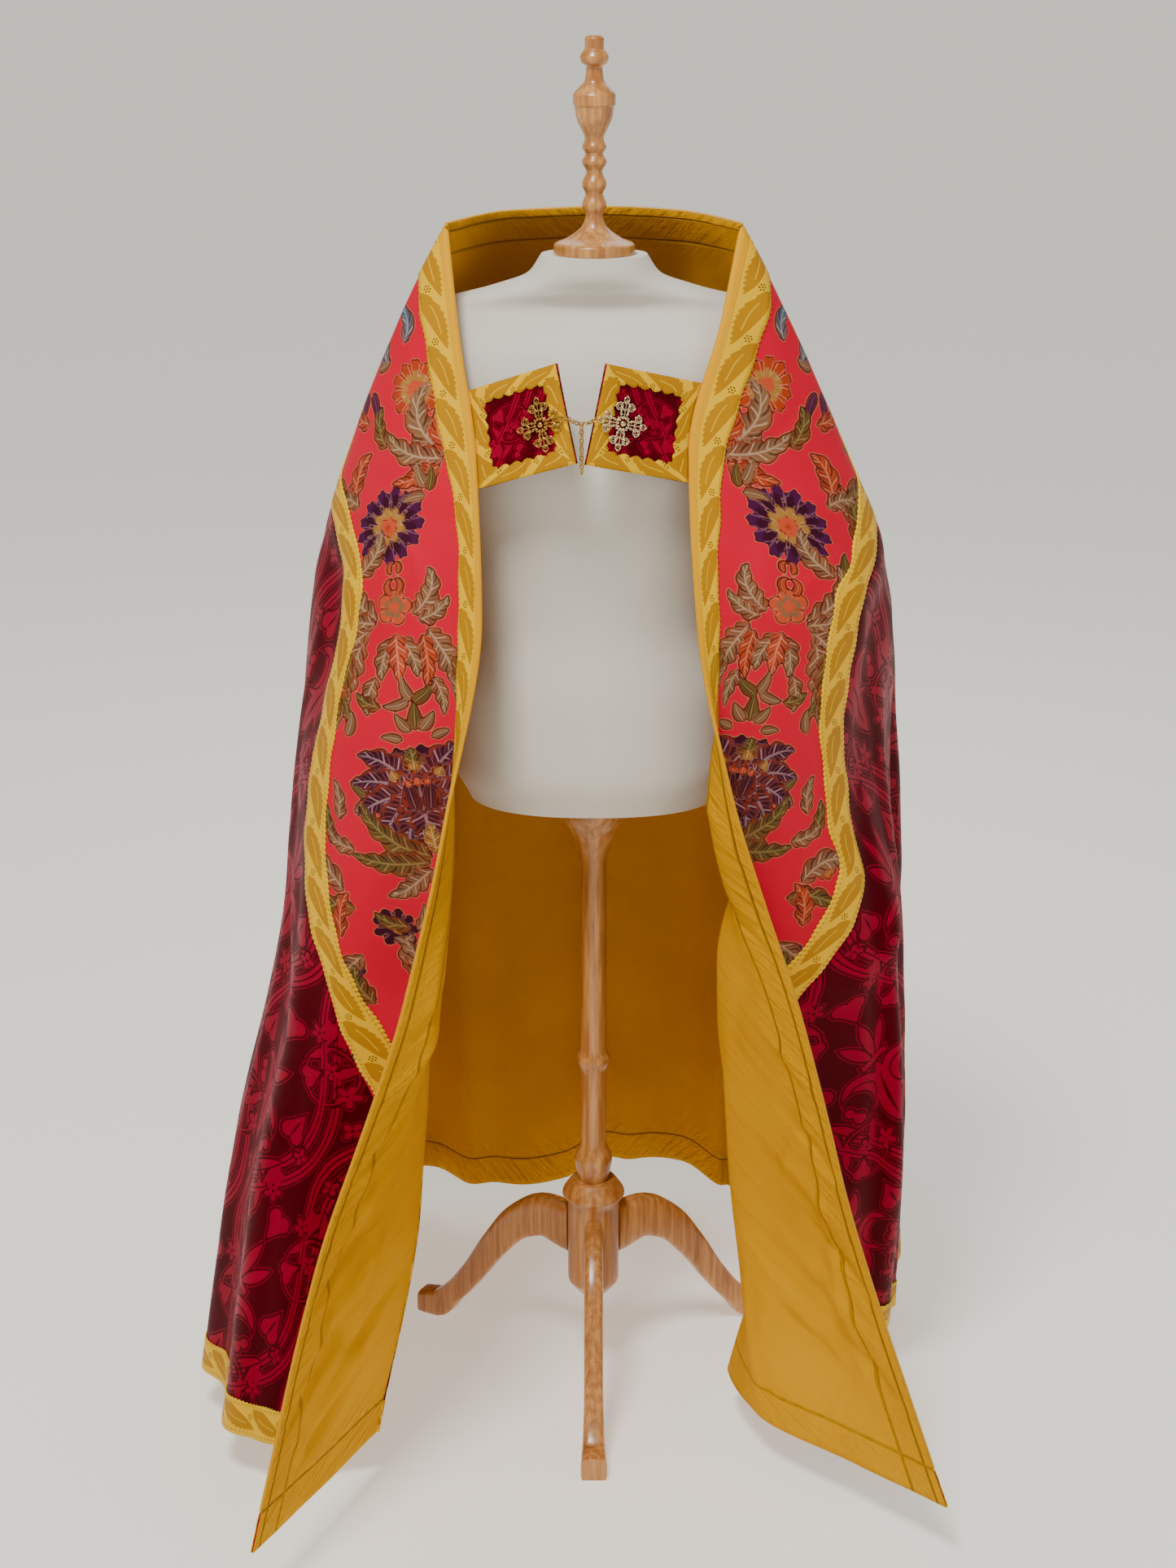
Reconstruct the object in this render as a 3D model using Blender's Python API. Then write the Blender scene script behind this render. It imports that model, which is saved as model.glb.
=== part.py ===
# Cope vestment on a dress form stand. Metres, +Z up, the garment opens towards -Y.
# The origin is on the floor under the middle of the whole part.
import math
from collections import namedtuple

import bmesh
import bpy
import numpy as np
from mathutils import Vector

# Where the stand's axis stands from the origin, so that the whole part is centred on it
AXIS_X = 0.0393
AXIS_Y = 0.0285

# Cut of the cope, laid flat: a strip behind the neck and a quarter circle on each side of it
NECK_HALF = 0.23        # half the neck edge, from the centre back to a front corner
DROP = 1.50             # neck edge to hem
ORPHREY_WIDTH = 0.27    # brocade band along the straight edge
GALLOON_WIDTH = 0.045   # woven trim
GAP = 0.0003            # between pieces that lie on each other
SEAM_GAP = 0.0010       # between pieces that are sewn edge to edge
CREASE_CUT = 0.15       # creases flatter than this share move straight out

# Cloth walls, as distances out from the inside of the lining
LINING = (0.0, 0.0010)
OUTER_CLOTH = (0.0013, 0.0025)
GALLOON = (0.0028, 0.0040)

# Grid of one half: columns run from the orphrey's seam to the hem
BACK_COLUMNS = 25
FRONT_COLUMNS = 8
ROWS = 10
FOLDED_FROM = math.radians(42)   # columns behind this ray lie along the folds
SEAM_TURN = 0.74                 # where the orphrey's seam leaves the shoulder, from the centre back

# Rays of cloth fan out from each front corner of the neck. A ray is named by its angle from
# the front edge, and a section row holds where each ray has got to after a share of the drop.
# The nape's ray hangs from the neck edge itself, between the corner and the centre back.
RAYS = (0, 5, 11, 18, 27, 42, 65, 90)
NAPE = 0.12
Section = namedtuple("Section", "share edge lapel turn front corner side rear back nape")
Centre = namedtuple("Centre", "share place")

LEFT = (
    Section(0.00, *[(0.163, -0.020, 1.475)] * 8, (0.105, 0.105, 1.475)),
    Section(0.08, (0.151, -0.065, 1.366), (0.160, -0.063, 1.364), (0.171, -0.058, 1.362),
            (0.185, -0.048, 1.362), (0.202, -0.034, 1.364), (0.218, -0.004, 1.370),
            (0.203, 0.030, 1.375), (0.175, 0.055, 1.381),
            (0.112, 0.165, 1.380)),
    Section(0.18, (0.131, -0.118, 1.230), (0.153, -0.114, 1.226), (0.180, -0.105, 1.222),
            (0.209, -0.090, 1.220), (0.241, -0.062, 1.220), (0.275, 0.005, 1.232),
            (0.262, 0.100, 1.250), (0.190, 0.155, 1.270),
            (0.110, 0.245, 1.265)),
    Section(0.30, (0.125, -0.175, 1.060), (0.162, -0.168, 1.055), (0.205, -0.153, 1.052),
            (0.254, -0.125, 1.050), (0.300, -0.078, 1.050), (0.330, 0.025, 1.060),
            (0.310, 0.160, 1.080), (0.200, 0.260, 1.100),
            (0.110, 0.330, 1.100)),
    Section(0.45, (0.163, -0.232, 0.850), (0.158, -0.190, 0.845), (0.225, -0.172, 0.840),
            (0.296, -0.135, 0.840), (0.348, -0.045, 0.840), (0.358, 0.100, 0.845),
            (0.325, 0.240, 0.860), (0.200, 0.345, 0.870),
            (0.110, 0.376, 0.873)),
    Section(0.60, (0.212, -0.310, 0.645), (0.172, -0.243, 0.640), (0.190, -0.187, 0.635),
            (0.295, -0.172, 0.630), (0.366, -0.065, 0.630), (0.375, 0.100, 0.630),
            (0.340, 0.260, 0.635), (0.200, 0.365, 0.640),
            (0.110, 0.391, 0.642)),
    Section(0.80, (0.308, -0.430, 0.375), (0.262, -0.336, 0.365), (0.205, -0.222, 0.355),
            (0.335, -0.222, 0.350), (0.432, -0.130, 0.345), (0.430, 0.070, 0.345),
            (0.385, 0.260, 0.345), (0.200, 0.380, 0.345),
            (0.110, 0.400, 0.345)),
    Section(1.00, (0.380, -0.510, 0.075), (0.327, -0.390, 0.065), (0.262, -0.250, 0.060),
            (0.375, -0.280, 0.060), (0.475, -0.170, 0.060), (0.465, 0.060, 0.060),
            (0.410, 0.270, 0.060), (0.200, 0.395, 0.060),
            (0.110, 0.407, 0.060)),
)
RIGHT = (
    Section(0.00, *[(0.163, -0.020, 1.475)] * 8, (0.105, 0.105, 1.475)),
    Section(0.08, (0.140, -0.062, 1.371), (0.150, -0.060, 1.368), (0.165, -0.053, 1.365),
            (0.184, -0.042, 1.364), (0.203, -0.028, 1.366), (0.218, 0.000, 1.370),
            (0.203, 0.030, 1.375), (0.175, 0.055, 1.381),
            (0.112, 0.165, 1.380)),
    Section(0.18, (0.105, -0.109, 1.235), (0.130, -0.106, 1.230), (0.157, -0.100, 1.225),
            (0.190, -0.086, 1.222), (0.230, -0.062, 1.220), (0.282, 0.005, 1.232),
            (0.266, 0.100, 1.250), (0.190, 0.155, 1.270),
            (0.110, 0.245, 1.265)),
    Section(0.30, (0.113, -0.166, 1.065), (0.150, -0.158, 1.060), (0.195, -0.150, 1.055),
            (0.250, -0.130, 1.050), (0.310, -0.085, 1.050), (0.350, 0.020, 1.060),
            (0.325, 0.160, 1.080), (0.200, 0.260, 1.100),
            (0.110, 0.330, 1.100)),
    Section(0.45, (0.155, -0.215, 0.855), (0.130, -0.165, 0.850), (0.190, -0.145, 0.845),
            (0.250, -0.120, 0.840), (0.320, -0.045, 0.840), (0.372, 0.110, 0.845),
            (0.340, 0.250, 0.860), (0.200, 0.345, 0.870),
            (0.110, 0.376, 0.873)),
    Section(0.60, (0.225, -0.280, 0.648), (0.180, -0.215, 0.640), (0.145, -0.145, 0.635),
            (0.245, -0.130, 0.630), (0.355, -0.060, 0.630), (0.380, 0.110, 0.630),
            (0.345, 0.265, 0.635), (0.200, 0.365, 0.640),
            (0.110, 0.391, 0.642)),
    Section(0.80, (0.300, -0.365, 0.375), (0.240, -0.280, 0.362), (0.165, -0.178, 0.352),
            (0.230, -0.120, 0.345), (0.372, -0.070, 0.345), (0.378, 0.120, 0.345),
            (0.345, 0.285, 0.345), (0.200, 0.380, 0.345),
            (0.110, 0.400, 0.345)),
    Section(1.00, (0.405, -0.420, 0.070), (0.312, -0.327, 0.064), (0.200, -0.215, 0.060),
            (0.170, -0.115, 0.060), (0.365, -0.010, 0.060), (0.385, 0.140, 0.060),
            (0.350, 0.300, 0.060), (0.200, 0.395, 0.060),
            (0.110, 0.407, 0.060)),
)
CENTRE_BACK = (
    Centre(0.00, (0.0, 0.145, 1.475)),
    Centre(0.08, (0.0, 0.212, 1.380)),
    Centre(0.18, (0.0, 0.285, 1.262)),
    Centre(0.30, (0.0, 0.355, 1.100)),
    Centre(0.45, (0.0, 0.385, 0.875)),
    Centre(0.60, (0.0, 0.400, 0.645)),
    Centre(0.80, (0.0, 0.405, 0.345)),
    Centre(1.00, (0.0, 0.410, 0.060)),
)

# Soft folds that hang from the shoulders. Places are along the hem from the centre back,
# minus to the left; depth is at the hem, plus for a ridge and minus for a trough.
Fold = namedtuple("Fold", "place half_width depth start")
FOLDS = (
    Fold(-1.90, 0.13, -0.020, 0.45), Fold(-1.62, 0.16, 0.030, 0.40), Fold(-1.40, 0.14, -0.040, 0.35),
    Fold(-1.17, 0.15, 0.048, 0.30), Fold(-0.95, 0.13, -0.042, 0.30), Fold(-0.74, 0.14, 0.050, 0.25),
    Fold(-0.53, 0.13, -0.045, 0.25), Fold(-0.32, 0.14, 0.046, 0.22), Fold(-0.11, 0.13, -0.040, 0.25),
    Fold(0.10, 0.14, 0.044, 0.22), Fold(0.31, 0.13, -0.044, 0.25), Fold(0.52, 0.14, 0.048, 0.22),
    Fold(0.74, 0.14, -0.043, 0.28), Fold(0.96, 0.15, 0.047, 0.30), Fold(1.18, 0.14, -0.040, 0.33),
    Fold(1.40, 0.15, 0.036, 0.35), Fold(1.63, 0.14, -0.030, 0.40), Fold(1.86, 0.12, 0.018, 0.45),
)
FOLD_GROWTH = 0.8       # power by which a fold deepens towards the hem

# Morse: the two square tabs that close the fronts, corners as seen from the front
TAB_THICKNESS = 0.004
TAB_CELLS = 5            # the outer ring of cells is the galloon, one fifth of the tab wide
TAB_CROWN = 0.004        # how far its middle stands forward
TAB_SEAM = 0.0010        # between the tab and the front edge that it is sewn to
TAB_TRIM = 0.0012        # thickness of the galloon round it
Tab = namedtuple("Tab", "side edge_from edge_to inner_top inner_low clasp")
TABS = (
    Tab("left", 0.192, 0.304, (-0.042, -0.150, 1.341), (-0.0195, -0.172, 1.2355), (0.745, 0.54)),
    Tab("right", 0.190, 0.304, (0.0135, -0.146, 1.340), (-0.0095, -0.170, 1.2335), (0.745, 0.54)),
)
CLASP_REACH = 0.031
CLASP_THICKNESS = 0.002
CLASP_LIFT = 0.0022      # above the tab, just clear of the galloon round it
HEART_PLACE = 0.68 * CLASP_REACH
HEART_SIZE = 0.0028
HOLE_OVER = 0.002        # how far a hole's cutter passes both faces
ROSETTE_RADIUS = 0.0085
ROSETTE_PETALS = 8
ROSETTE_SUNK = 0.0005    # where it starts, inside the cross
ROSETTE_RISE = 0.0022
CHAIN_RADIUS = 0.0016
CHAIN_DROP = 0.052
CHAIN_START = 0.0012     # from the tip of the cross's arm to the chain

# Dress form: rings of a smooth torso, then turned wood, x and y from the stand's axis
Ring = namedtuple("Ring", "height half_width half_depth forward")
TORSO = (
    Ring(0.800, 0.150, 0.105, 0.000),
    Ring(0.850, 0.170, 0.118, 0.000),
    Ring(0.930, 0.168, 0.112, 0.000),
    Ring(1.020, 0.142, 0.094, 0.000),
    Ring(1.110, 0.146, 0.100, -0.003),
    Ring(1.200, 0.166, 0.108, -0.004),
    Ring(1.275, 0.180, 0.096, 0.000),
    Ring(1.330, 0.196, 0.074, 0.006),
    Ring(1.362, 0.2119, 0.054, 0.010),
    Ring(1.384, 0.188, 0.046, 0.012),
    Ring(1.402, 0.120, 0.054, 0.010),
    Ring(1.418, 0.076, 0.056, 0.004),
    Ring(1.440, 0.060, 0.052, 0.000),
)
TORSO_SIDES = 24
TORSO_ROUND = 0.85   # 1 is an ellipse, less is squarer
Turn = namedtuple("Turn", "height radius")
NECK_POST = (
    Turn(1.4403, 0.046), Turn(1.450, 0.046), Turn(1.458, 0.030), Turn(1.472, 0.013),
    Turn(1.482, 0.010), Turn(1.494, 0.014), Turn(1.506, 0.010), Turn(1.517, 0.014),
    Turn(1.530, 0.009), Turn(1.541, 0.014), Turn(1.549, 0.010), Turn(1.557, 0.0135),
    Turn(1.566, 0.0105), Turn(1.588, 0.020), Turn(1.601, 0.0222), Turn(1.603, 0.0238),
    Turn(1.612, 0.0238), Turn(1.621, 0.017), Turn(1.629, 0.0105), Turn(1.642, 0.0090),
    Turn(1.647, 0.0140), Turn(1.653, 0.0160), Turn(1.659, 0.0130), Turn(1.663, 0.0105),
    Turn(1.672, 0.0108), Turn(1.676, 0.0080),
)
POLE = (
    Turn(0.2703, 0.019), Turn(0.300, 0.024), Turn(0.325, 0.0165), Turn(0.420, 0.016),
    Turn(0.440, 0.021), Turn(0.455, 0.0165), Turn(0.700, 0.0155), Turn(0.730, 0.022),
    Turn(0.750, 0.030), Turn(0.775, 0.045), Turn(0.7997, 0.050),
)
HUB = (
    Turn(0.100, 0.012), Turn(0.116, 0.026), Turn(0.130, 0.033), Turn(0.235, 0.033),
    Turn(0.250, 0.040), Turn(0.262, 0.034), Turn(0.270, 0.028),
)
TURNED_SIDES = 16

# Three curved legs, each a path of blocks from the hub to a flat foot
LegStep = namedtuple("LegStep", "out height half_thick half_wide")
LEG = (
    LegStep(0.0333, 0.190, 0.034, 0.012),
    LegStep(0.070, 0.196, 0.030, 0.012),
    LegStep(0.110, 0.178, 0.024, 0.012),
    LegStep(0.150, 0.132, 0.019, 0.012),
    LegStep(0.185, 0.080, 0.016, 0.012),
    LegStep(0.215, 0.042, 0.015, 0.013),
    LegStep(0.243, 0.016, 0.019, 0.015),
    LegStep(0.268, 0.014, 0.016, 0.016),
)
LEG_ANGLES = (150, 270, 30)


def clear_scene():
    for thing in list(bpy.data.objects):
        bpy.data.objects.remove(thing)


def material(name, colour, roughness, metallic=0.0):
    made = bpy.data.materials.new(name)
    made.use_nodes = True
    shader = made.node_tree.nodes["Principled BSDF"]
    shader.inputs["Base Color"].default_value = (*colour, 1.0)
    shader.inputs["Roughness"].default_value = roughness
    shader.inputs["Metallic"].default_value = metallic
    return made


def add_object(name, points, faces, finish, smooth=True):
    """One closed body, stood on the part's own origin, faces turned outwards."""
    mesh = bpy.data.meshes.new(name)
    moved = [(x + AXIS_X, y + AXIS_Y, z) for x, y, z in points]
    mesh.from_pydata(moved, [], [tuple(int(v) for v in face) for face in faces])
    shaped = bmesh.new()
    shaped.from_mesh(mesh)
    bmesh.ops.recalc_face_normals(shaped, faces=shaped.faces)
    shaped.to_mesh(mesh)
    shaped.free()
    mesh.materials.append(finish)
    if smooth:
        mesh.shade_smooth()
        mesh.set_sharp_from_angle(angle=math.radians(35))
    made = bpy.data.objects.new(name, mesh)
    bpy.context.scene.collection.objects.link(made)
    return made


# The cope's surface

def curve_through(knots, values, at):
    """Smooth curve through a table that never swings past its rows: values (n, knots, 3)."""
    steps = np.diff(knots)
    slopes = np.diff(values, axis=1) / steps[None, :, None]
    before, after = slopes[:, :-1], slopes[:, 1:]
    together = before * after > 0
    total = np.where(together, before + after, 1.0)
    tangents = np.zeros_like(values)
    tangents[:, 1:-1] = np.where(together, 2 * before * after / total, 0.0)
    tangents[:, 0], tangents[:, -1] = slopes[:, 0], slopes[:, -1]
    cell = np.clip(np.searchsorted(knots, at, side="right") - 1, 0, len(knots) - 2)
    row = np.arange(len(at)) if values.shape[0] > 1 else np.zeros(len(at), int)
    width = steps[cell][:, None]
    u = ((at - knots[cell]) / steps[cell])[:, None]
    low, high = values[row, cell], values[row, cell + 1]
    leave, arrive = tangents[row, cell] * width, tangents[row, cell + 1] * width
    return ((2 * u**3 - 3 * u**2 + 1) * low + (u**3 - 2 * u**2 + u) * leave
            + (3 * u**2 - 2 * u**3) * high + (u**3 - u**2) * arrive)


def section_table():
    """All rays from the left front edge round the back to the right one, a row per section."""
    mirrored = np.array([-1.0, 1.0, 1.0])
    rows = []
    for left, middle, right in zip(LEFT, CENTRE_BACK, RIGHT):
        one = [np.array(place) * mirrored for place in left[1:]]
        other = [np.array(place) for place in right[:0:-1]]
        rows.append(one + [np.array(middle.place)] + other)
    return np.array(rows)


RAY_PLACES = np.append(NECK_HALF + DROP * (math.pi / 2 - np.radians(RAYS)), NAPE)
STATIONS = np.concatenate((-RAY_PLACES, [0.0], RAY_PLACES[::-1]))
SHARES = np.array([row.share for row in CENTRE_BACK])
SECTIONS = section_table()


def hanging_place(station, share):
    """Where the ray that meets the hem at a station has got to, before the folds."""
    flat = SECTIONS.reshape(1, len(SHARES), -1)
    rows = curve_through(SHARES, flat, share).reshape(len(share), len(STATIONS), 3)
    return curve_through(STATIONS, rows, station)


def fold_depth(station, share):
    depth = np.zeros_like(station)
    for fold in FOLDS:
        across = np.clip(np.abs(station - fold.place) / fold.half_width, 0, 1)
        grown = np.clip((share - fold.start) / (1 - fold.start), 0, 1)
        depth += fold.depth * (0.5 + 0.5 * np.cos(math.pi * across)) * grown**FOLD_GROWTH
    return depth


def worn(s, t):
    """Place in space of a point of the flat cut: s along the straight edge, t into the cloth."""
    away = np.abs(s) - NECK_HALF
    in_fan = away > 0
    angle = np.arctan2(t, np.maximum(away, 0.0))
    reach = np.where(in_fan, np.hypot(away, t), t)
    station = np.where(in_fan, NECK_HALF + DROP * (math.pi / 2 - angle), np.abs(s)) * np.sign(s)
    share = reach / DROP
    place = hanging_place(station, share)
    step = 0.004
    along = hanging_place(station + step, share) - hanging_place(station - step, share)
    outward = np.stack((-along[:, 1], along[:, 0]), axis=1)
    outward /= np.maximum(np.linalg.norm(outward, axis=1, keepdims=True), 1e-9)
    place[:, :2] += outward * fold_depth(station, share)[:, None]
    return place


def offsets(places, triangles):
    """For each point, the step that moves every face round it out by one unit."""
    corner = places[np.array(triangles)]
    normals = np.cross(corner[:, 1] - corner[:, 0], corner[:, 2] - corner[:, 0])
    normals /= np.maximum(np.linalg.norm(normals, axis=1, keepdims=True), 1e-12)
    round_point = [[] for _ in places]
    for face, tri in enumerate(triangles):
        for v in tri:
            round_point[v].append(normals[face])
    steps = np.zeros_like(places)
    for v, faces in enumerate(round_point):
        steps[v] = np.linalg.lstsq(np.array(faces), np.ones(len(faces)), rcond=CREASE_CUT)[0]
    return steps


# Grids in the flat cut, for one half with s counted outwards from the centre back

def seam_and_hem(start):
    """Ends of the columns: on the orphrey's seam at depth start, and on the hem."""
    last_angle = math.asin(start / DROP)
    turn_angle = math.atan(start / (SEAM_TURN - NECK_HALF))
    folded = NECK_HALF + DROP * (math.pi / 2 - FOLDED_FROM)
    end = NECK_HALF + DROP * (math.pi / 2 - last_angle)
    hem_places = np.concatenate((np.linspace(GAP / 2, folded, BACK_COLUMNS + 1),
                                 np.linspace(folded, end, FRONT_COLUMNS + 1)[1:]))
    angle = math.pi / 2 - (hem_places - NECK_HALF) / DROP
    squeezed = FOLDED_FROM + (angle - FOLDED_FROM) * (FOLDED_FROM - turn_angle) / (FOLDED_FROM - last_angle)
    start_angle = np.where(angle > FOLDED_FROM, angle, squeezed)
    strip = hem_places < NECK_HALF
    tangent = np.tan(np.clip(start_angle, 0.05, math.pi / 2 - 1e-6))
    seam_s = np.where(strip, hem_places, NECK_HALF + start / tangent)
    hem_s = np.where(strip, hem_places, NECK_HALF + DROP * np.cos(angle))
    hem_t = np.where(strip, DROP, DROP * np.sin(angle))
    seam = np.stack((seam_s, np.full_like(seam_s, start)), axis=1)
    return seam, np.stack((hem_s, hem_t), axis=1)


def shell_grid(start):
    """Columns by rows; the last row but one is where the hem's galloon begins."""
    seam, hem = seam_and_hem(start)
    length = np.linalg.norm(hem - seam, axis=1)
    upper = np.linspace(0, 1, ROWS)[None, :] * (1 - GALLOON_WIDTH / length)[:, None]
    share = np.concatenate((upper, np.ones((len(length), 1))), axis=1)
    return seam[:, None, :] + (hem - seam)[:, None, :] * share[:, :, None]


def orphrey_grid():
    """Rows along the straight edge from the centre back to the tip, by five lines of depth."""
    shell = shell_grid(ORPHREY_WIDTH)
    seam_s = np.concatenate((shell[:, 0, 0], shell[-1, 1:, 0]))
    middle = ORPHREY_WIDTH / 2
    depths = np.array([0, GALLOON_WIDTH, middle, ORPHREY_WIDTH - GALLOON_WIDTH, ORPHREY_WIDTH])
    last = seam_s[-1]
    longer = NECK_HALF + np.sqrt(DROP**2 - depths**2) - last
    low = np.clip((seam_s - SEAM_TURN) / (last - SEAM_TURN), 0, 1)
    s = seam_s[:, None] + longer[None, :] * low[:, None]
    return np.stack((s, np.broadcast_to(depths, s.shape)), axis=2)


def grid_triangles(columns, rows, numbers):
    """Two triangles a cell, all split along the same diagonal."""
    made = []
    for i in range(columns - 1):
        for j in range(rows - 1):
            a, b, c, d = numbers[i, j], numbers[i + 1, j], numbers[i + 1, j + 1], numbers[i, j + 1]
            made += [(a, b, c), (a, c, d)]
    return made


def closed_wall(inner, outer, triangles):
    """Two skins over the same triangles, joined by a rim round their open edges."""
    count = len(inner)
    seen = {}
    for tri in triangles:
        for a, b in ((tri[0], tri[1]), (tri[1], tri[2]), (tri[2], tri[0])):
            seen[(a, b)] = True
    faces = [tuple(v + count for v in tri) for tri in triangles] + [tri[::-1] for tri in triangles]
    for a, b in seen:
        if (b, a) not in seen:
            faces += [(a, b, b + count), (a, b + count, a + count)]
    return np.concatenate((inner, outer)), faces


class HalfCope:
    """One half of the cope: a band grid and a panel grid that share the orphrey's seam."""

    def __init__(self, side):
        self.side = side
        self.sign = -1.0 if side == "left" else 1.0
        band, panel = orphrey_grid(), shell_grid(ORPHREY_WIDTH)
        self.band = np.arange(band.shape[0] * band.shape[1]).reshape(band.shape[:2])
        self.panel = self.band.size + np.arange(panel.shape[0] * panel.shape[1]).reshape(panel.shape[:2])
        columns = panel.shape[0]
        self.panel[:, 0] = self.band[:columns, -1]
        self.panel[-1, 1:] = self.band[columns:, -1]
        self.cut = np.concatenate((band.reshape(-1, 2), panel.reshape(-1, 2)))
        self.worn_places = worn(self.cut[:, 0] * self.sign, self.cut[:, 1])
        used, compact = used_only(np.arange(len(self.cut)), self.cells(self.band) + self.cells(self.panel))
        self.steps = np.zeros((len(self.cut), 3))
        self.steps[used] = offsets(self.worn_places[used], compact)

    def is_ridge(self, a, b, c, d):
        """True where a split from a to c would stand out as a ridge."""
        at = self.worn_places
        outwards = np.cross(at[b] - at[a], at[c] - at[a]) * self.sign
        return float(outwards @ (at[d] - at[a])) < 0

    def cells(self, numbers):
        """Two triangles a cell, split along the same diagonal in every layer, facing outwards."""
        made = []
        for i in range(numbers.shape[0] - 1):
            for j in range(numbers.shape[1] - 1):
                a, b = numbers[i, j], numbers[i + 1, j]
                c, d = numbers[i + 1, j + 1], numbers[i, j + 1]
                # beside the seam down the front, where the shell is trimmed, no split is a ridge
                beside = b in self.panel[-1]
                other = beside and (b == self.panel[-1, 0] or self.is_ridge(a, b, c, d))
                pair = [(b, c, d), (b, d, a)] if other else [(a, b, c), (a, c, d)]
                made += pair if self.sign > 0 else [tri[::-1] for tri in pair]
        return made

    def wall(self, name, blocks, layer, finish, trimmed=((), ())):
        """A piece over some blocks of cells; trimmed edge points stand back towards inner ones."""
        edge, inner = trimmed
        place = self.worn_places.copy()
        if len(edge):
            back = place[inner] - place[edge]
            place[edge] += back / np.linalg.norm(back, axis=1, keepdims=True) * SEAM_GAP
        triangles = [tri for block in blocks for tri in self.cells(block)]
        used, compact = used_only(np.arange(len(place)), triangles)
        low, high = (place[used] + self.steps[used] * distance for distance in layer)
        body, faces = closed_wall(low, high, compact)
        add_object(f"{name}_{self.side}", body, faces, finish)

    def pieces(self, damask, brocade, trim, lining):
        band, panel = self.band, self.panel
        seam = (np.concatenate((panel[:-1, 0], panel[-1])), np.concatenate((panel[:-1, 1], panel[-2])))
        seam[1][panel.shape[0] - 1] = panel[-2, 1]
        self.wall("lining", (band, panel), LINING, lining)
        self.wall("orphrey", (band,), OUTER_CLOTH, brocade)
        self.wall("shell", (panel,), OUTER_CLOTH, damask, seam)
        above = band[:-1]
        above_hem = (above[-1], above[-2])
        self.wall("galloon_edge", (above[:, :2],), GALLOON, trim, above_hem)
        self.wall("galloon_outer", (above[:, 3:],), GALLOON, trim, above_hem)
        self.wall("galloon_hem", (band[-2:], panel[:, -2:]), GALLOON, trim)


def used_only(items, triangles):
    """Keep the points that some triangle uses, and number the triangles by them."""
    used = sorted({int(v) for tri in triangles for v in tri})
    place = {v: k for k, v in enumerate(used)}
    return items[used], [tuple(place[int(v)] for v in tri) for tri in triangles]


# Morse, clasps and chain

def tab_surface(tab, u, v):
    """Place and outward direction on a tab: u from the front edge inwards, v downwards."""
    sign = -1.0 if tab.side == "left" else 1.0
    down_edge = NECK_HALF + tab.edge_from + (tab.edge_to - tab.edge_from) * v
    outer = worn(np.array([sign * down_edge]), np.array([0.0]))[0]
    inner = (1 - v) * np.array(tab.inner_top) + v * np.array(tab.inner_low)
    outer += (inner - outer) / np.linalg.norm(inner - outer) * TAB_SEAM
    top, low = np.array(tab.inner_top), np.array(tab.inner_low)
    normal = np.cross(inner - outer, low - top)
    normal /= np.linalg.norm(normal)
    if normal[1] > 0:
        normal = -normal
    bow = TAB_CROWN * 16 * u * (1 - u) * v * (1 - v)
    return (1 - u) * outer + u * inner + normal * bow, normal


def tab_cells(tab):
    lines = np.linspace(0, 1, TAB_CELLS + 1)
    places = np.array([[tab_surface(tab, u, v)[0] for v in lines] for u in lines])
    return places.reshape(-1, 3), tab_surface(tab, 0.5, 0.5)[1]


def morse_tab(tab, damask, trim):
    places, normal = tab_cells(tab)
    numbers = np.arange((TAB_CELLS + 1)**2).reshape(TAB_CELLS + 1, TAB_CELLS + 1)
    everything = grid_triangles(TAB_CELLS + 1, TAB_CELLS + 1, numbers)
    body, faces = closed_wall(places - normal * TAB_THICKNESS, places, everything)
    add_object(f"morse_tab_{tab.side}", body, faces, damask)
    ring = [tri for k, tri in enumerate(everything) if not cell_is_inner(k // 2)]
    top = places + normal * GAP
    points, ring = used_only(np.concatenate((top, top + normal * TAB_TRIM)), with_lift(ring, len(top)))
    add_object(f"morse_galloon_{tab.side}", points, ring, trim)


def cell_is_inner(cell):
    i, j = divmod(cell, TAB_CELLS)
    return 0 < i < TAB_CELLS - 1 and 0 < j < TAB_CELLS - 1


def with_lift(triangles, count):
    """Faces of a closed ring between two layers of the same points."""
    _, faces = closed_wall(np.zeros((count, 3)), np.zeros((count, 3)), triangles)
    return faces


def clasp_outline(steps=72):
    """Cross with four three-lobed arms, as a radius that changes with the angle."""
    points = []
    for k in range(steps):
        angle = 2 * math.pi * k / steps
        off = (angle + math.pi / 4) % (math.pi / 2) - math.pi / 4
        tip = math.exp(-(off / 0.27)**2)
        wings = math.exp(-((abs(off) - 0.44) / 0.10)**2)
        radius = CLASP_REACH * (0.34 + 0.66 * tip + 0.22 * wings)
        points.append((radius * math.cos(angle), radius * math.sin(angle)))
    return points


def prism(outline, low, high):
    count = len(outline)
    points = [(x, y, low) for x, y in outline] + [(x, y, high) for x, y in outline]
    faces = [tuple(range(count))[::-1], tuple(range(count, 2 * count))]
    faces += [(k, (k + 1) % count, (k + 1) % count + count, k + count) for k in range(count)]
    return points, faces


def heart(centre, size, turn, steps=10):
    """Small heart, its point towards the middle of the cross."""
    points = []
    for k in range(steps):
        a = 2 * math.pi * k / steps
        x = 16 * math.sin(a)**3 / 17
        y = (13 * math.cos(a) - 5 * math.cos(2 * a) - 2 * math.cos(3 * a)) / 17
        px, py = y * size + centre, x * size
        points.append((px * math.cos(turn) - py * math.sin(turn),
                       px * math.sin(turn) + py * math.cos(turn)))
    return points


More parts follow.
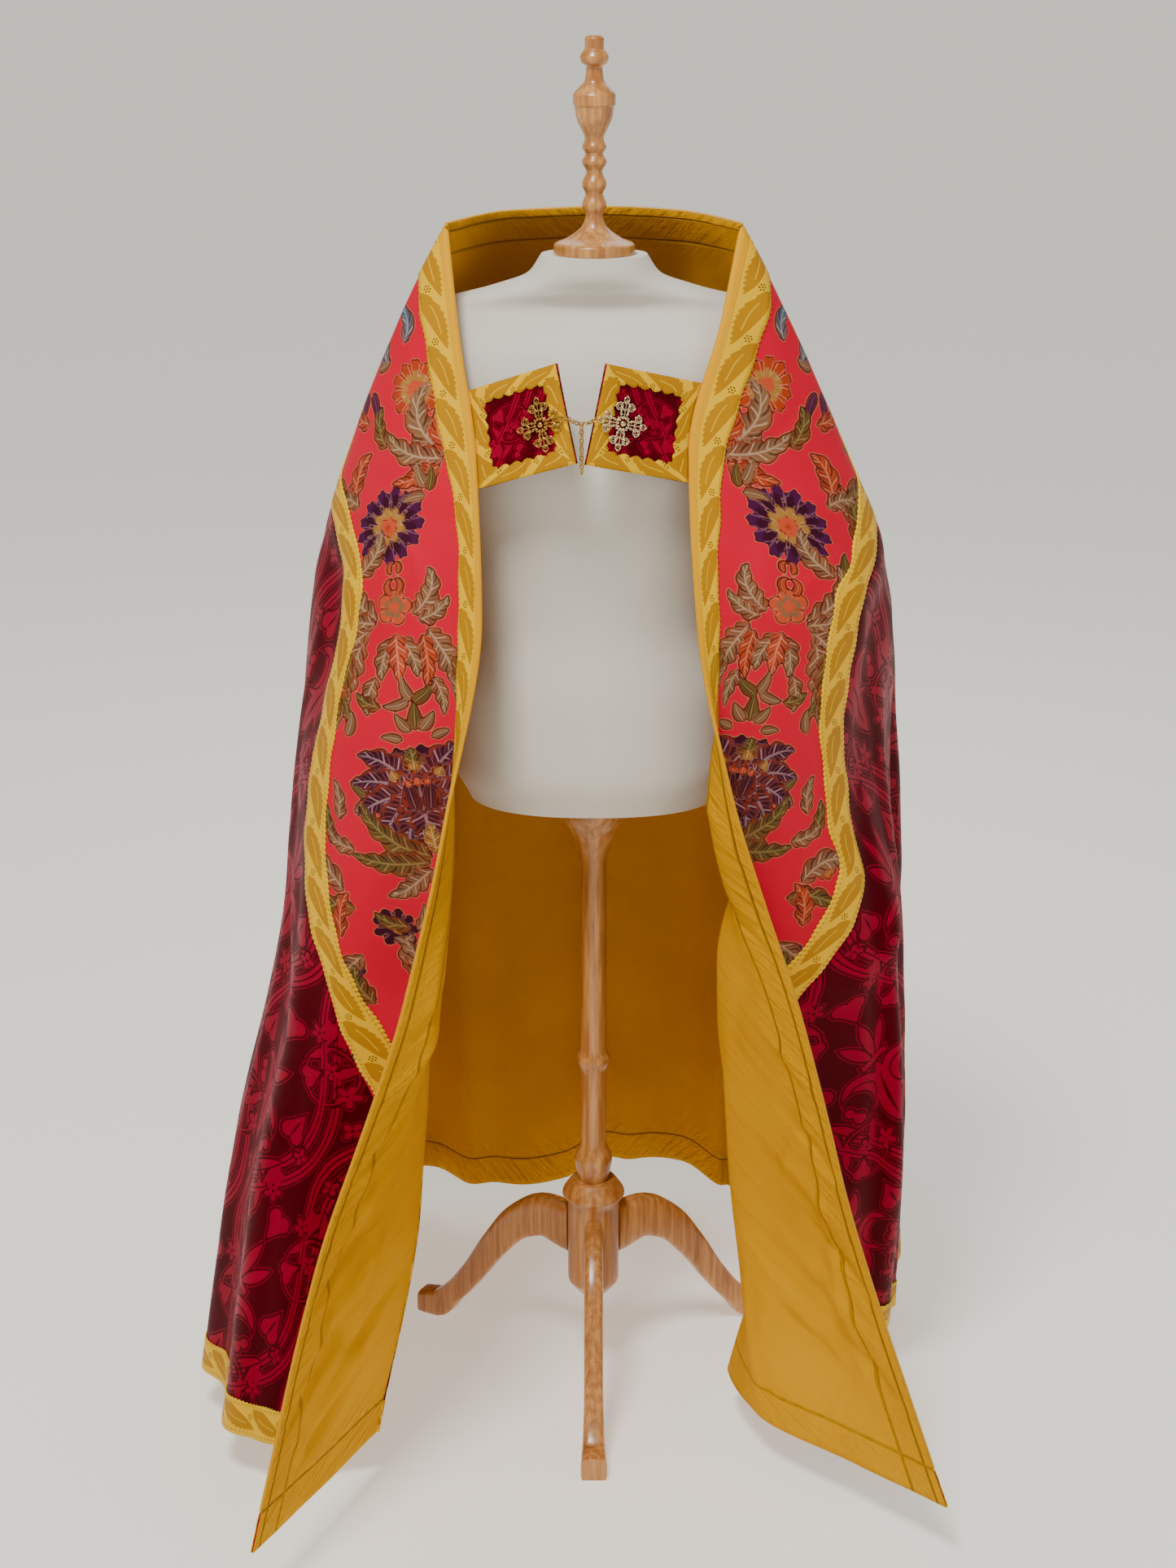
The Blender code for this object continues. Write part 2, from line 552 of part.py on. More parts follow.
def loose_mesh_object(name, points, faces):
    mesh = bpy.data.meshes.new(name)
    mesh.from_pydata(points, [], faces)
    made = bpy.data.objects.new(name, mesh)
    bpy.context.scene.collection.objects.link(made)
    return made


def cut_or_join(body, tool, operation):
    """Boolean of two objects, kept as the body's mesh."""
    change = body.modifiers.new("shape", "BOOLEAN")
    change.operation = operation
    change.solver = "EXACT"
    change.object = tool
    bpy.context.view_layer.update()
    shaped = bpy.data.meshes.new_from_object(body.evaluated_get(bpy.context.evaluated_depsgraph_get()))
    body.modifiers.clear()
    body.data = shaped
    bpy.data.objects.remove(tool)


def clasp(tab, metal):
    """Pierced cross with a raised rosette, laid on the tab."""
    body = loose_mesh_object(f"clasp_{tab.side}", *prism(clasp_outline(), 0.0, CLASP_THICKNESS))
    for k in range(4):
        hole = prism(heart(HEART_PLACE, HEART_SIZE, k * math.pi / 2), -HOLE_OVER, CLASP_THICKNESS + HOLE_OVER)
        cut_or_join(body, loose_mesh_object("hole", *hole), "DIFFERENCE")
    rosette = []
    for a in np.linspace(0, 2 * math.pi, 3 * ROSETTE_PETALS, endpoint=False):
        radius = ROSETTE_RADIUS * (1 + 0.10 * math.cos(ROSETTE_PETALS * a))
        rosette.append((radius * math.cos(a), radius * math.sin(a)))
    boss = prism(rosette, ROSETTE_SUNK, CLASP_THICKNESS + ROSETTE_RISE)
    cut_or_join(body, loose_mesh_object("boss", *boss), "UNION")
    points = [on_tab(tab, p.co.x, p.co.y, CLASP_LIFT + p.co.z) for p in body.data.vertices]
    faces = [tuple(face.vertices) for face in body.data.polygons]
    bpy.data.objects.remove(body)
    add_object(f"clasp_{tab.side}", points, faces, metal, smooth=False)
    return Vector(on_tab(tab, CLASP_REACH + CHAIN_START, 0.0, CLASP_LIFT + CLASP_THICKNESS))


def on_tab(tab, inwards, down, up):
    """A point of the clasp, bent to lie on the tab's crowned face."""
    width = math.dist(tab_surface(tab, 0.0, 0.5)[0], tab_surface(tab, 1.0, 0.5)[0])
    height = math.dist(tab.inner_top, tab.inner_low)
    u, v = tab.clasp
    place, _ = tab_surface(tab, u + inwards / width, v + down / height)
    return place + tab_surface(tab, 0.5, 0.5)[1] * up


def tube(path, radius, sides=6):
    """Round bar along a path, closed at both ends."""
    path = [Vector(p) for p in path]
    points, faces = [], []
    for k, centre in enumerate(path):
        ahead = (path[min(k + 1, len(path) - 1)] - path[max(k - 1, 0)]).normalized()
        one = ahead.orthogonal() if abs(ahead.y) > 0.9 else ahead.cross(Vector((0, 1, 0)))
        one.normalize()
        other = ahead.cross(one)
        for m in range(sides):
            a = 2 * math.pi * m / sides
            points.append(centre + one * radius * math.cos(a) + other * radius * math.sin(a))
    for k in range(len(path) - 1):
        for m in range(sides):
            n = (m + 1) % sides
            faces.append((k * sides + m, k * sides + n, (k + 1) * sides + n, (k + 1) * sides + m))
    faces += [tuple(range(sides))[::-1], tuple(range(len(points) - sides, len(points)))]
    return points, faces


def chain(ends, metal):
    """Short chain between the clasps, slightly slack, and its spare end hanging down."""
    start, stop = ends
    steps = 9
    path = []
    for k in range(steps):
        u = k / (steps - 1)
        sag = Vector((0, -0.002, -0.006)) * 4 * u * (1 - u)
        path.append(start.lerp(stop, u) + sag)
    add_object("clasp_chain", *tube(path, CHAIN_RADIUS), metal)
    top = path[steps // 2] + Vector((0, 0, -CHAIN_RADIUS - GAP))
    hanging = [top + Vector((0, -0.0005 * k, -CHAIN_DROP * k / 6)) for k in range(7)]
    add_object("clasp_chain_end", *tube(hanging, CHAIN_RADIUS), metal)


# Dress form and stand

def torso(finish):
    points = []
    for ring in TORSO:
        for k in range(TORSO_SIDES):
            a = 2 * math.pi * (k + 0.5) / TORSO_SIDES
            c, s = math.cos(a), math.sin(a)
            points.append((ring.half_width * math.copysign(abs(c)**TORSO_ROUND, c),
                           ring.forward + ring.half_depth * math.copysign(abs(s)**TORSO_ROUND, s),
                           ring.height))
    add_lofted("form_torso", points, len(TORSO), TORSO_SIDES, finish)


def add_lofted(name, points, rings, sides, finish):
    faces = []
    for r in range(rings - 1):
        for k in range(sides):
            n = (k + 1) % sides
            faces.append((r * sides + k, r * sides + n, (r + 1) * sides + n, (r + 1) * sides + k))
    faces += [tuple(range(sides))[::-1], tuple(range((rings - 1) * sides, rings * sides))]
    return add_object(name, points, faces, finish)


def turned(name, profile, finish):
    """Wood turned on a lathe, a ring for each row of its profile."""
    points = []
    for row in profile:
        for k in range(TURNED_SIDES):
            a = 2 * math.pi * k / TURNED_SIDES
            points.append((row.radius * math.cos(a), row.radius * math.sin(a), row.height))
    return add_lofted(name, points, len(profile), TURNED_SIDES, finish)


def leg(number, degrees, finish):
    """Curved leg with a flat foot, a block section for each row of the table."""
    a = math.radians(degrees)
    out, aside = Vector((math.cos(a), math.sin(a), 0)), Vector((-math.sin(a), math.cos(a), 0))
    points = []
    for k, row in enumerate(LEG):
        ahead, behind = LEG[min(k + 1, len(LEG) - 1)], LEG[max(k - 1, 0)]
        run = Vector((ahead.out - behind.out, ahead.height - behind.height)).normalized()
        if k in (0, len(LEG) - 1):
            run = Vector((1, 0))
        middle = out * row.out + Vector((0, 0, row.height))
        rise = (out * -run.y + Vector((0, 0, run.x))) * row.half_thick
        for across, up in ((-1, -1), (1, -1), (1, 1), (-1, 1)):
            corner = middle + rise * up + aside * (row.half_wide * across)
            corner.z = max(corner.z, 0.0)
            points.append(corner)
    add_lofted(f"tripod_leg_{number}", points, len(LEG), 4, finish)


def main():
    clear_scene()
    damask = material("crimson_damask", (0.30, 0.012, 0.035), 0.45)
    brocade = material("red_brocade", (0.75, 0.02, 0.05), 0.55)
    gold = material("gold_galloon", (0.72, 0.42, 0.05), 0.5)
    yellow = material("mustard_lining", (0.62, 0.36, 0.03), 0.8)
    linen = material("form_linen", (0.78, 0.74, 0.66), 0.85)
    wood = material("varnished_oak", (0.50, 0.27, 0.10), 0.35)
    metal = material("gilt_metal", (0.85, 0.68, 0.35), 0.3, 1.0)
    for side in ("left", "right"):
        HalfCope(side).pieces(damask, brocade, gold, yellow)
    ends = []
    for tab in TABS:
        morse_tab(tab, damask, gold)
        ends.append(clasp(tab, metal))
    chain(ends, metal)
    torso(linen)
    turned("neck_post", NECK_POST, wood)
    turned("stand_pole", POLE, wood)
    turned("tripod_hub", HUB, wood)
    for number, degrees in enumerate(LEG_ANGLES, 1):
        leg(number, degrees, wood)


main()
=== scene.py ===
# Cope on its stand: looks. Metres, +Z up, the fronts open towards -Y.
import math
import bpy
import numpy as np
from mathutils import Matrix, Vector


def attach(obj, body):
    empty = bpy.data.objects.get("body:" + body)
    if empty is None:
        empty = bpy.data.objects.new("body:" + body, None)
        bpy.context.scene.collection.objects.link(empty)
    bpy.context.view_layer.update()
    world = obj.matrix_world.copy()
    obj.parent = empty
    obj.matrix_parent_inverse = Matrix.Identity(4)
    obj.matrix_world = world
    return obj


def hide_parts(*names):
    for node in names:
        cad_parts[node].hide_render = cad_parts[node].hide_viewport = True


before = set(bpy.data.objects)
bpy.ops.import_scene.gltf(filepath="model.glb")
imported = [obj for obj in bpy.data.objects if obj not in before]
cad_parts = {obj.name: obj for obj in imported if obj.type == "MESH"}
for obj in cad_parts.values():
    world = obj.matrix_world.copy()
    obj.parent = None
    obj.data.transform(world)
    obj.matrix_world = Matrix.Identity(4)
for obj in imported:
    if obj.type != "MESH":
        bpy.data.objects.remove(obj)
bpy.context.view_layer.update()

# the stand's axis
axisX, axisY = 0.0393, 0.0285

# cut of the cope, laid flat: half the strip behind the neck, drop, widths of the orphrey and the galloon
neckHalf, drop, bandWidth, trimWidth = 0.23, 1.50, 0.27, 0.045
# how far each layer lies out from the inside of the lining
liningLift, liningBack = 0.0, 0.0010
clothBack, clothLift = 0.0013, 0.0025
trimBack, trimLift = 0.0028, 0.0040

# where each ray of cloth has got to after a share of the drop, left front then right front
# columns: share, then x y z for edge lapel turn front corner side rear back nape
rays = (0, 5, 11, 18, 27, 42, 65, 90)
napePlace = 0.12
neckCorner = (0.163, -0.020, 1.475)
leftRows = (
    (0.00, *[neckCorner] * 8, (0.105, 0.105, 1.475)),
    (0.08, (0.151, -0.065, 1.366), (0.160, -0.063, 1.364), (0.171, -0.058, 1.362), (0.185, -0.048, 1.362),
     (0.202, -0.034, 1.364), (0.218, -0.004, 1.370), (0.203, 0.030, 1.375), (0.175, 0.055, 1.381),
     (0.112, 0.165, 1.380)),
    (0.18, (0.131, -0.118, 1.230), (0.153, -0.114, 1.226), (0.180, -0.105, 1.222), (0.209, -0.090, 1.220),
     (0.241, -0.062, 1.220), (0.275, 0.005, 1.232), (0.262, 0.100, 1.250), (0.190, 0.155, 1.270),
     (0.110, 0.245, 1.265)),
    (0.30, (0.125, -0.175, 1.060), (0.162, -0.168, 1.055), (0.205, -0.153, 1.052), (0.254, -0.125, 1.050),
     (0.300, -0.078, 1.050), (0.330, 0.025, 1.060), (0.310, 0.160, 1.080), (0.200, 0.260, 1.100),
     (0.110, 0.330, 1.100)),
    (0.45, (0.163, -0.232, 0.850), (0.158, -0.190, 0.845), (0.225, -0.172, 0.840), (0.296, -0.135, 0.840),
     (0.348, -0.045, 0.840), (0.358, 0.100, 0.845), (0.325, 0.240, 0.860), (0.200, 0.345, 0.870),
     (0.110, 0.376, 0.873)),
    (0.60, (0.212, -0.310, 0.645), (0.172, -0.243, 0.640), (0.190, -0.187, 0.635), (0.295, -0.172, 0.630),
     (0.366, -0.065, 0.630), (0.375, 0.100, 0.630), (0.340, 0.260, 0.635), (0.200, 0.365, 0.640),
     (0.110, 0.391, 0.642)),
    (0.80, (0.308, -0.430, 0.375), (0.262, -0.336, 0.365), (0.205, -0.222, 0.355), (0.335, -0.222, 0.350),
     (0.432, -0.130, 0.345), (0.430, 0.070, 0.345), (0.385, 0.260, 0.345), (0.200, 0.380, 0.345),
     (0.110, 0.400, 0.345)),
    (1.00, (0.380, -0.510, 0.075), (0.327, -0.390, 0.065), (0.262, -0.250, 0.060), (0.375, -0.280, 0.060),
     (0.475, -0.170, 0.060), (0.465, 0.060, 0.060), (0.410, 0.270, 0.060), (0.200, 0.395, 0.060),
     (0.110, 0.407, 0.060)),
)
rightRows = (
    (0.00, *[neckCorner] * 8, (0.105, 0.105, 1.475)),
    (0.08, (0.140, -0.062, 1.371), (0.150, -0.060, 1.368), (0.165, -0.053, 1.365), (0.184, -0.042, 1.364),
     (0.203, -0.028, 1.366), (0.218, 0.000, 1.370), (0.203, 0.030, 1.375), (0.175, 0.055, 1.381),
     (0.112, 0.165, 1.380)),
    (0.18, (0.105, -0.109, 1.235), (0.130, -0.106, 1.230), (0.157, -0.100, 1.225), (0.190, -0.086, 1.222),
     (0.230, -0.062, 1.220), (0.282, 0.005, 1.232), (0.266, 0.100, 1.250), (0.190, 0.155, 1.270),
     (0.110, 0.245, 1.265)),
    (0.30, (0.113, -0.166, 1.065), (0.150, -0.158, 1.060), (0.195, -0.150, 1.055), (0.250, -0.130, 1.050),
     (0.310, -0.085, 1.050), (0.350, 0.020, 1.060), (0.325, 0.160, 1.080), (0.200, 0.260, 1.100),
     (0.110, 0.330, 1.100)),
    (0.45, (0.155, -0.215, 0.855), (0.130, -0.165, 0.850), (0.190, -0.145, 0.845), (0.250, -0.120, 0.840),
     (0.320, -0.045, 0.840), (0.372, 0.110, 0.845), (0.340, 0.250, 0.860), (0.200, 0.345, 0.870),
     (0.110, 0.376, 0.873)),
    (0.60, (0.225, -0.280, 0.648), (0.180, -0.215, 0.640), (0.145, -0.145, 0.635), (0.245, -0.130, 0.630),
     (0.355, -0.060, 0.630), (0.380, 0.110, 0.630), (0.345, 0.265, 0.635), (0.200, 0.365, 0.640),
     (0.110, 0.391, 0.642)),
    (0.80, (0.300, -0.365, 0.375), (0.240, -0.280, 0.362), (0.165, -0.178, 0.352), (0.230, -0.120, 0.345),
     (0.372, -0.070, 0.345), (0.378, 0.120, 0.345), (0.345, 0.285, 0.345), (0.200, 0.380, 0.345),
     (0.110, 0.400, 0.345)),
    (1.00, (0.405, -0.420, 0.070), (0.312, -0.327, 0.064), (0.200, -0.215, 0.060), (0.170, -0.115, 0.060),
     (0.365, -0.010, 0.060), (0.385, 0.140, 0.060), (0.350, 0.300, 0.060), (0.200, 0.395, 0.060),
     (0.110, 0.407, 0.060)),
)
centreBack = ((0.0, 0.145, 1.475), (0.0, 0.212, 1.380), (0.0, 0.285, 1.262), (0.0, 0.355, 1.100),
              (0.0, 0.385, 0.875), (0.0, 0.400, 0.645), (0.0, 0.405, 0.345), (0.0, 0.410, 0.060))
# folds that hang from the shoulders: place along the hem, half width, depth at the hem, share where it starts
folds = (
    (-1.90, 0.13, -0.020, 0.45), (-1.62, 0.16, 0.030, 0.40), (-1.40, 0.14, -0.040, 0.35),
    (-1.17, 0.15, 0.048, 0.30), (-0.95, 0.13, -0.042, 0.30), (-0.74, 0.14, 0.050, 0.25),
    (-0.53, 0.13, -0.045, 0.25), (-0.32, 0.14, 0.046, 0.22), (-0.11, 0.13, -0.040, 0.25),
    (0.10, 0.14, 0.044, 0.22), (0.31, 0.13, -0.044, 0.25), (0.52, 0.14, 0.048, 0.22),
    (0.74, 0.14, -0.043, 0.28), (0.96, 0.15, 0.047, 0.30), (1.18, 0.14, -0.040, 0.33),
    (1.40, 0.15, 0.036, 0.35), (1.63, 0.14, -0.030, 0.40), (1.86, 0.12, 0.018, 0.45),
    # smaller ones between them
    (-1.99, 0.060, 0.012, 0.40), (-1.77, 0.070, 0.021, 0.30), (-1.51, 0.065, -0.025, 0.28),
    (-1.29, 0.060, 0.027, 0.35), (-1.06, 0.065, -0.029, 0.30), (-0.86, 0.055, 0.026, 0.40),
    (-0.64, 0.060, -0.030, 0.26), (-0.43, 0.065, 0.029, 0.34), (-0.21, 0.060, -0.026, 0.30),
    (0.01, 0.055, 0.032, 0.38), (0.20, 0.060, -0.033, 0.28), (0.42, 0.065, 0.035, 0.33),
    (0.62, 0.060, -0.030, 0.36), (0.85, 0.070, 0.036, 0.27), (1.07, 0.060, -0.035, 0.31),
    (1.28, 0.060, 0.033, 0.36), (1.51, 0.065, -0.030, 0.30), (1.74, 0.060, 0.026, 0.34),
    (1.93, 0.055, -0.018, 0.42),
)
# soft creases, in the flat cut: s and t of both ends, half width, height (minus for a trough)
creases = (
    (-0.52, 0.20, -0.66, 0.10, 0.012, 0.0022), (-0.60, 0.24, -0.78, 0.15, 0.014, -0.0024),
    (-0.86, 0.06, -1.02, 0.20, 0.012, 0.0020), (-0.36, 0.10, -0.46, 0.05, 0.010, -0.0016),
    (-1.05, 0.12, -1.20, 0.24, 0.014, 0.0026), (-0.98, 0.22, -1.14, 0.30, 0.016, -0.0028),
    (-1.30, 0.02, -1.42, 0.13, 0.011, -0.0024), (-1.48, 0.05, -1.56, 0.17, 0.012, 0.0022),
    (-1.60, 0.03, -1.68, 0.12, 0.009, -0.0020), (-1.20, 0.08, -1.30, 0.18, 0.013, 0.0018),
    (0.55, 0.22, 0.70, 0.12, 0.013, 0.0024), (0.62, 0.10, 0.80, 0.17, 0.012, -0.0022),
    (0.78, 0.05, 0.95, 0.15, 0.014, 0.0024), (0.40, 0.12, 0.50, 0.06, 0.010, -0.0018),
    (0.98, 0.10, 1.12, 0.20, 0.014, -0.0026), (1.10, 0.05, 1.24, 0.15, 0.012, 0.0020),
    (1.28, 0.03, 1.40, 0.12, 0.010, -0.0024), (1.40, 0.10, 1.52, 0.22, 0.014, 0.0030),
    (1.52, 0.16, 1.66, 0.26, 0.011, -0.0042), (1.47, 0.21, 1.64, 0.30, 0.012, 0.0040),
    (1.58, 0.04, 1.67, 0.11, 0.010, -0.0022), (1.20, 0.16, 1.36, 0.24, 0.014, 0.0024),
    (0.95, 0.48, 1.18, 0.80, 0.020, 0.0040), (0.84, 0.52, 1.02, 0.90, 0.018, -0.0042),
    (0.72, 0.55, 0.86, 1.00, 0.020, 0.0038), (-0.90, 0.50, -1.10, 0.82, 0.022, 0.0036),
    (-0.74, 0.54, -0.92, 0.98, 0.020, -0.0040), (-0.40, 0.45, -0.46, 0.95, 0.020, 0.0036),
    (0.10, 0.40, 0.12, 0.90, 0.020, -0.0036), (0.38, 0.44, 0.44, 0.96, 0.018, 0.0038),
    (-0.14, 0.42, -0.16, 0.88, 0.020, 0.0034), (0.24, 0.60, 0.25, 1.20, 0.018, -0.0034),
    (0.52, 0.33, 0.86, 0.31, 0.034, -0.0110), (0.90, 0.35, 1.12, 0.33, 0.030, 0.0080),
    (-0.50, 0.31, -0.82, 0.29, 0.034, -0.0120), (-0.88, 0.36, -1.15, 0.35, 0.030, 0.0070),
    (1.36, 0.045, 1.66, 0.060, 0.009, -0.0030), (1.42, 0.075, 1.66, 0.095, 0.010, 0.0030),
    (1.50, 0.205, 1.70, 0.235, 0.009, 0.0044), (-1.30, 0.06, -1.60, 0.085, 0.012, 0.0028),
    (-1.36, 0.12, -1.62, 0.16, 0.012, -0.0030), (-1.00, 0.04, -1.20, 0.055, 0.010, -0.0022),
    # slanting ones of the turned lapels
    (-1.60, 0.015, -1.50, 0.120, 0.009, 0.0046), (-1.54, 0.020, -1.41, 0.150, 0.011, -0.0050),
    (-1.47, 0.010, -1.38, 0.110, 0.009, 0.0044), (-1.41, 0.012, -1.30, 0.130, 0.011, -0.0046),
    (-1.33, 0.010, -1.25, 0.090, 0.008, 0.0038), (-1.67, 0.060, -1.57, 0.170, 0.011, 0.0046),
    (-1.63, 0.080, -1.51, 0.190, 0.011, -0.0044), (-1.24, 0.010, -1.16, 0.080, 0.008, -0.0032),
    (-1.56, 0.130, -1.47, 0.200, 0.010, 0.0034), (-1.18, 0.020, -1.08, 0.100, 0.009, 0.0030),
    (1.63, 0.015, 1.53, 0.110, 0.009, 0.0044), (1.56, 0.020, 1.45, 0.150, 0.011, -0.0048),
    (1.50, 0.012, 1.41, 0.100, 0.009, 0.0042), (1.43, 0.015, 1.33, 0.130, 0.011, -0.0044),
    (1.36, 0.010, 1.28, 0.090, 0.009, 0.0036), (1.64, 0.090, 1.53, 0.190, 0.011, 0.0046),
    (1.26, 0.010, 1.18, 0.085, 0.008, -0.0032), (1.10, 0.015, 1.00, 0.090, 0.009, 0.0032),
    (0.98, 0.010, 0.90, 0.070, 0.008, -0.0030), (1.58, 0.130, 1.47, 0.210, 0.010, -0.0036),
    (0.05, 0.004, 0.08, 0.042, 0.007, -0.0016), (0.11, 0.004, 0.13, 0.042, 0.006, 0.0016),
    (0.17, 0.004, 0.18, 0.042, 0.006, -0.0018), (-0.09, 0.004, -0.11, 0.042, 0.007, 0.0014),
    (-0.18, 0.004, -0.19, 0.042, 0.007, -0.0014),
)


# cubic through a table, slopes damped so that it never swings past its rows:
# p = h00 p0 + h10 m0 + h01 p1 + h11 m1, with m the harmonic mean of the slopes either side
def curveThrough(knots, values, at):
    steps = np.diff(knots)
    slopes = np.diff(values, axis=1) / steps[None, :, None]
    before, after = slopes[:, :-1], slopes[:, 1:]
    together = before * after > 0
    tangents = np.zeros_like(values)
    tangents[:, 1:-1] = np.where(together, 2 * before * after / np.where(together, before + after, 1.0), 0.0)
    tangents[:, 0], tangents[:, -1] = slopes[:, 0], slopes[:, -1]
    cell = np.clip(np.searchsorted(knots, at, side="right") - 1, 0, len(knots) - 2)
    row = np.arange(len(at)) if values.shape[0] > 1 else np.zeros(len(at), int)
    width = steps[cell][:, None]
    u = ((at - knots[cell]) / steps[cell])[:, None]
    return ((2 * u**3 - 3 * u**2 + 1) * values[row, cell] + (u**3 - 2 * u**2 + u) * tangents[row, cell] * width
            + (3 * u**2 - 2 * u**3) * values[row, cell + 1] + (u**3 - u**2) * tangents[row, cell + 1] * width)


rayPlaces = np.append(neckHalf + drop * (math.pi / 2 - np.radians(rays)), napePlace)
stations = np.concatenate((-rayPlaces, [0.0], rayPlaces[::-1]))
shares = np.array([row[0] for row in leftRows])
mirror = np.array([-1.0, 1.0, 1.0])
sections = np.array([[np.array(p) * mirror for p in a[1:]] + [np.array(m)] + [np.array(p) for p in b[:0:-1]]
                     for a, m, b in zip(leftRows, centreBack, rightRows)])


batch = 60000  # points worked out at a time
probe = 0.004  # step that slopes are measured over


# where the ray that meets the hem at a station is, after a share of the drop: the table's damped cubic down the
# shares, then along the stations
def hangingPlace(station, share):
    out = np.empty((len(share), 3))
    table = sections.reshape(1, len(shares), -1)
    for k in range(0, len(share), batch):
        part = slice(k, k + batch)
        rows = curveThrough(shares, table, share[part]).reshape(-1, len(stations), 3)
        out[part] = curveThrough(stations, rows, station[part])
    return out


# each fold is depth * (1 + cos)/2 across and grows as share^0.8 below where it starts
def foldDepth(station, share):
    depth = np.zeros_like(station)
    for place, halfWidth, deep, start in folds:
        across = np.clip(np.abs(station - place) / halfWidth, 0, 1)
        grown = np.clip((share - start) / (1 - start), 0, 1)
        depth += deep * (0.5 + 0.5 * np.cos(math.pi * across)) * grown**0.8
    return depth


# flat cut (s along the straight edge, t into the cloth) to the place where it hangs: the point is at a share of
# the drop on the ray that meets the hem at a station, moved outwards by the folds
def worn(s, t):
    away = np.abs(s) - neckHalf
    fan = away > 0
    angle = np.arctan2(t, np.maximum(away, 0.0))
    reach = np.where(fan, np.hypot(away, t), t)
    station = np.where(fan, neckHalf + drop * (math.pi / 2 - angle), np.abs(s)) * np.sign(s)
    share = reach / drop
    place = hangingPlace(station, share)
    along = hangingPlace(station + probe, share) - hangingPlace(station - probe, share)
    outward = np.stack((-along[:, 1], along[:, 0]), axis=1)
    outward /= np.maximum(np.linalg.norm(outward, axis=1, keepdims=True), 1e-9)
    place[:, :2] += outward * foldDepth(station, share)[:, None]
    return place


# creases: height * exp(-(d/halfWidth)^2) * sin(pi u)^0.7 along each, 1.7 times as high on the turned lapels,
# and a faint unevenness of sines
def creaseHeight(s, t):
    turned = 1 + 0.7 * np.clip((np.abs(s) - 1.0) / 0.2, 0, 1) * np.clip((0.22 - t) / 0.08, 0, 1)
    slow, quick = np.sin(31 * s + 12 * t) * np.sin(17 * t - 9 * s + 1.3), np.sin(53 * t + 21 * s + 0.7)
    total = 0.0005 * (slow + 0.6 * quick)
    for s0, t0, s1, t1, halfWidth, height in creases:
        ds, dt = s1 - s0, t1 - t0
        long = math.hypot(ds, dt)
        u = ((s - s0) * ds + (t - t0) * dt) / long**2
        bend = 0.010 * np.sin(math.pi * u)
        d = ((t - t0) * ds - (s - s0) * dt) / long - bend
        total += turned * height * np.exp(-(d / halfWidth)**2) * np.sin(math.pi * np.clip(u, 0, 1))**0.7
    return total


# how far the cloth has slid across, in the line of the outer galloon: s from the centre back, shift of t
slides = {
    -1.0: ((0.30, 0.0), (0.46, -0.020), (0.535, -0.058), (0.60, -0.082), (0.66, -0.074), (0.74, -0.046),
           (0.80, -0.030), (0.86, -0.006), (0.93, 0.028), (1.02, 0.046), (1.10, 0.038), (1.19, 0.020),
           (1.26, 0.008), (1.36, 0.0)),
    1.0: ((0.30, 0.0), (0.44, -0.012), (0.50, -0.022), (0.57, -0.046), (0.63, -0.074), (0.68, -0.066),
          (0.74, -0.050), (0.79, -0.034), (0.85, -0.002), (0.91, 0.028), (0.97, 0.066), (1.02, 0.062),
          (1.09, 0.043), (1.16, 0.016), (1.24, 0.0)),
}


# slide * (1 - (1 - t/0.25)^1.4) up to the galloon, fading out by 0.85
def slide(s, t, sign):
    places, shifts = np.array(slides[sign]).T
    at = np.clip(s.ravel(), places[0], places[-1])
    along = curveThrough(places, shifts[None, :, None], at).reshape(s.shape)
    rise = 1 - (1 - np.clip(t / 0.25, 0, 1))**1.4
    fade = np.clip((t - 0.30) / 0.55, 0, 1)
    return along * rise * (1 - fade**2 * (3 - 2 * fade))


# point of a layer: worn(s, t) + normal * (lift + crease)
def clothPoints(s, t, lift, sign):
    shape = s.shape
    crease = creaseHeight(s * sign, t).ravel()
    t = t + slide(s, t, sign)
    s, t, lift = s.ravel() * sign, t.ravel(), np.broadcast_to(lift, shape).ravel()
    low = np.maximum(t - probe, 0)
    alongS = worn(s + probe, t) - worn(s - probe, t)
    alongT = worn(s, low + 2 * probe) - worn(s, low)
    normal = np.cross(alongS, alongT)
    size = np.linalg.norm(normal, axis=1, keepdims=True)
    normal = np.where(size > 1e-9, normal / np.maximum(size, 1e-9), np.array([0.4 * sign, -0.9, 0.0]))
    place = worn(s, t) + normal * (lift + crease)[:, None]
    return (place + np.array([axisX, axisY, 0])).reshape(*shape, 3), normal.reshape(*shape, 3)


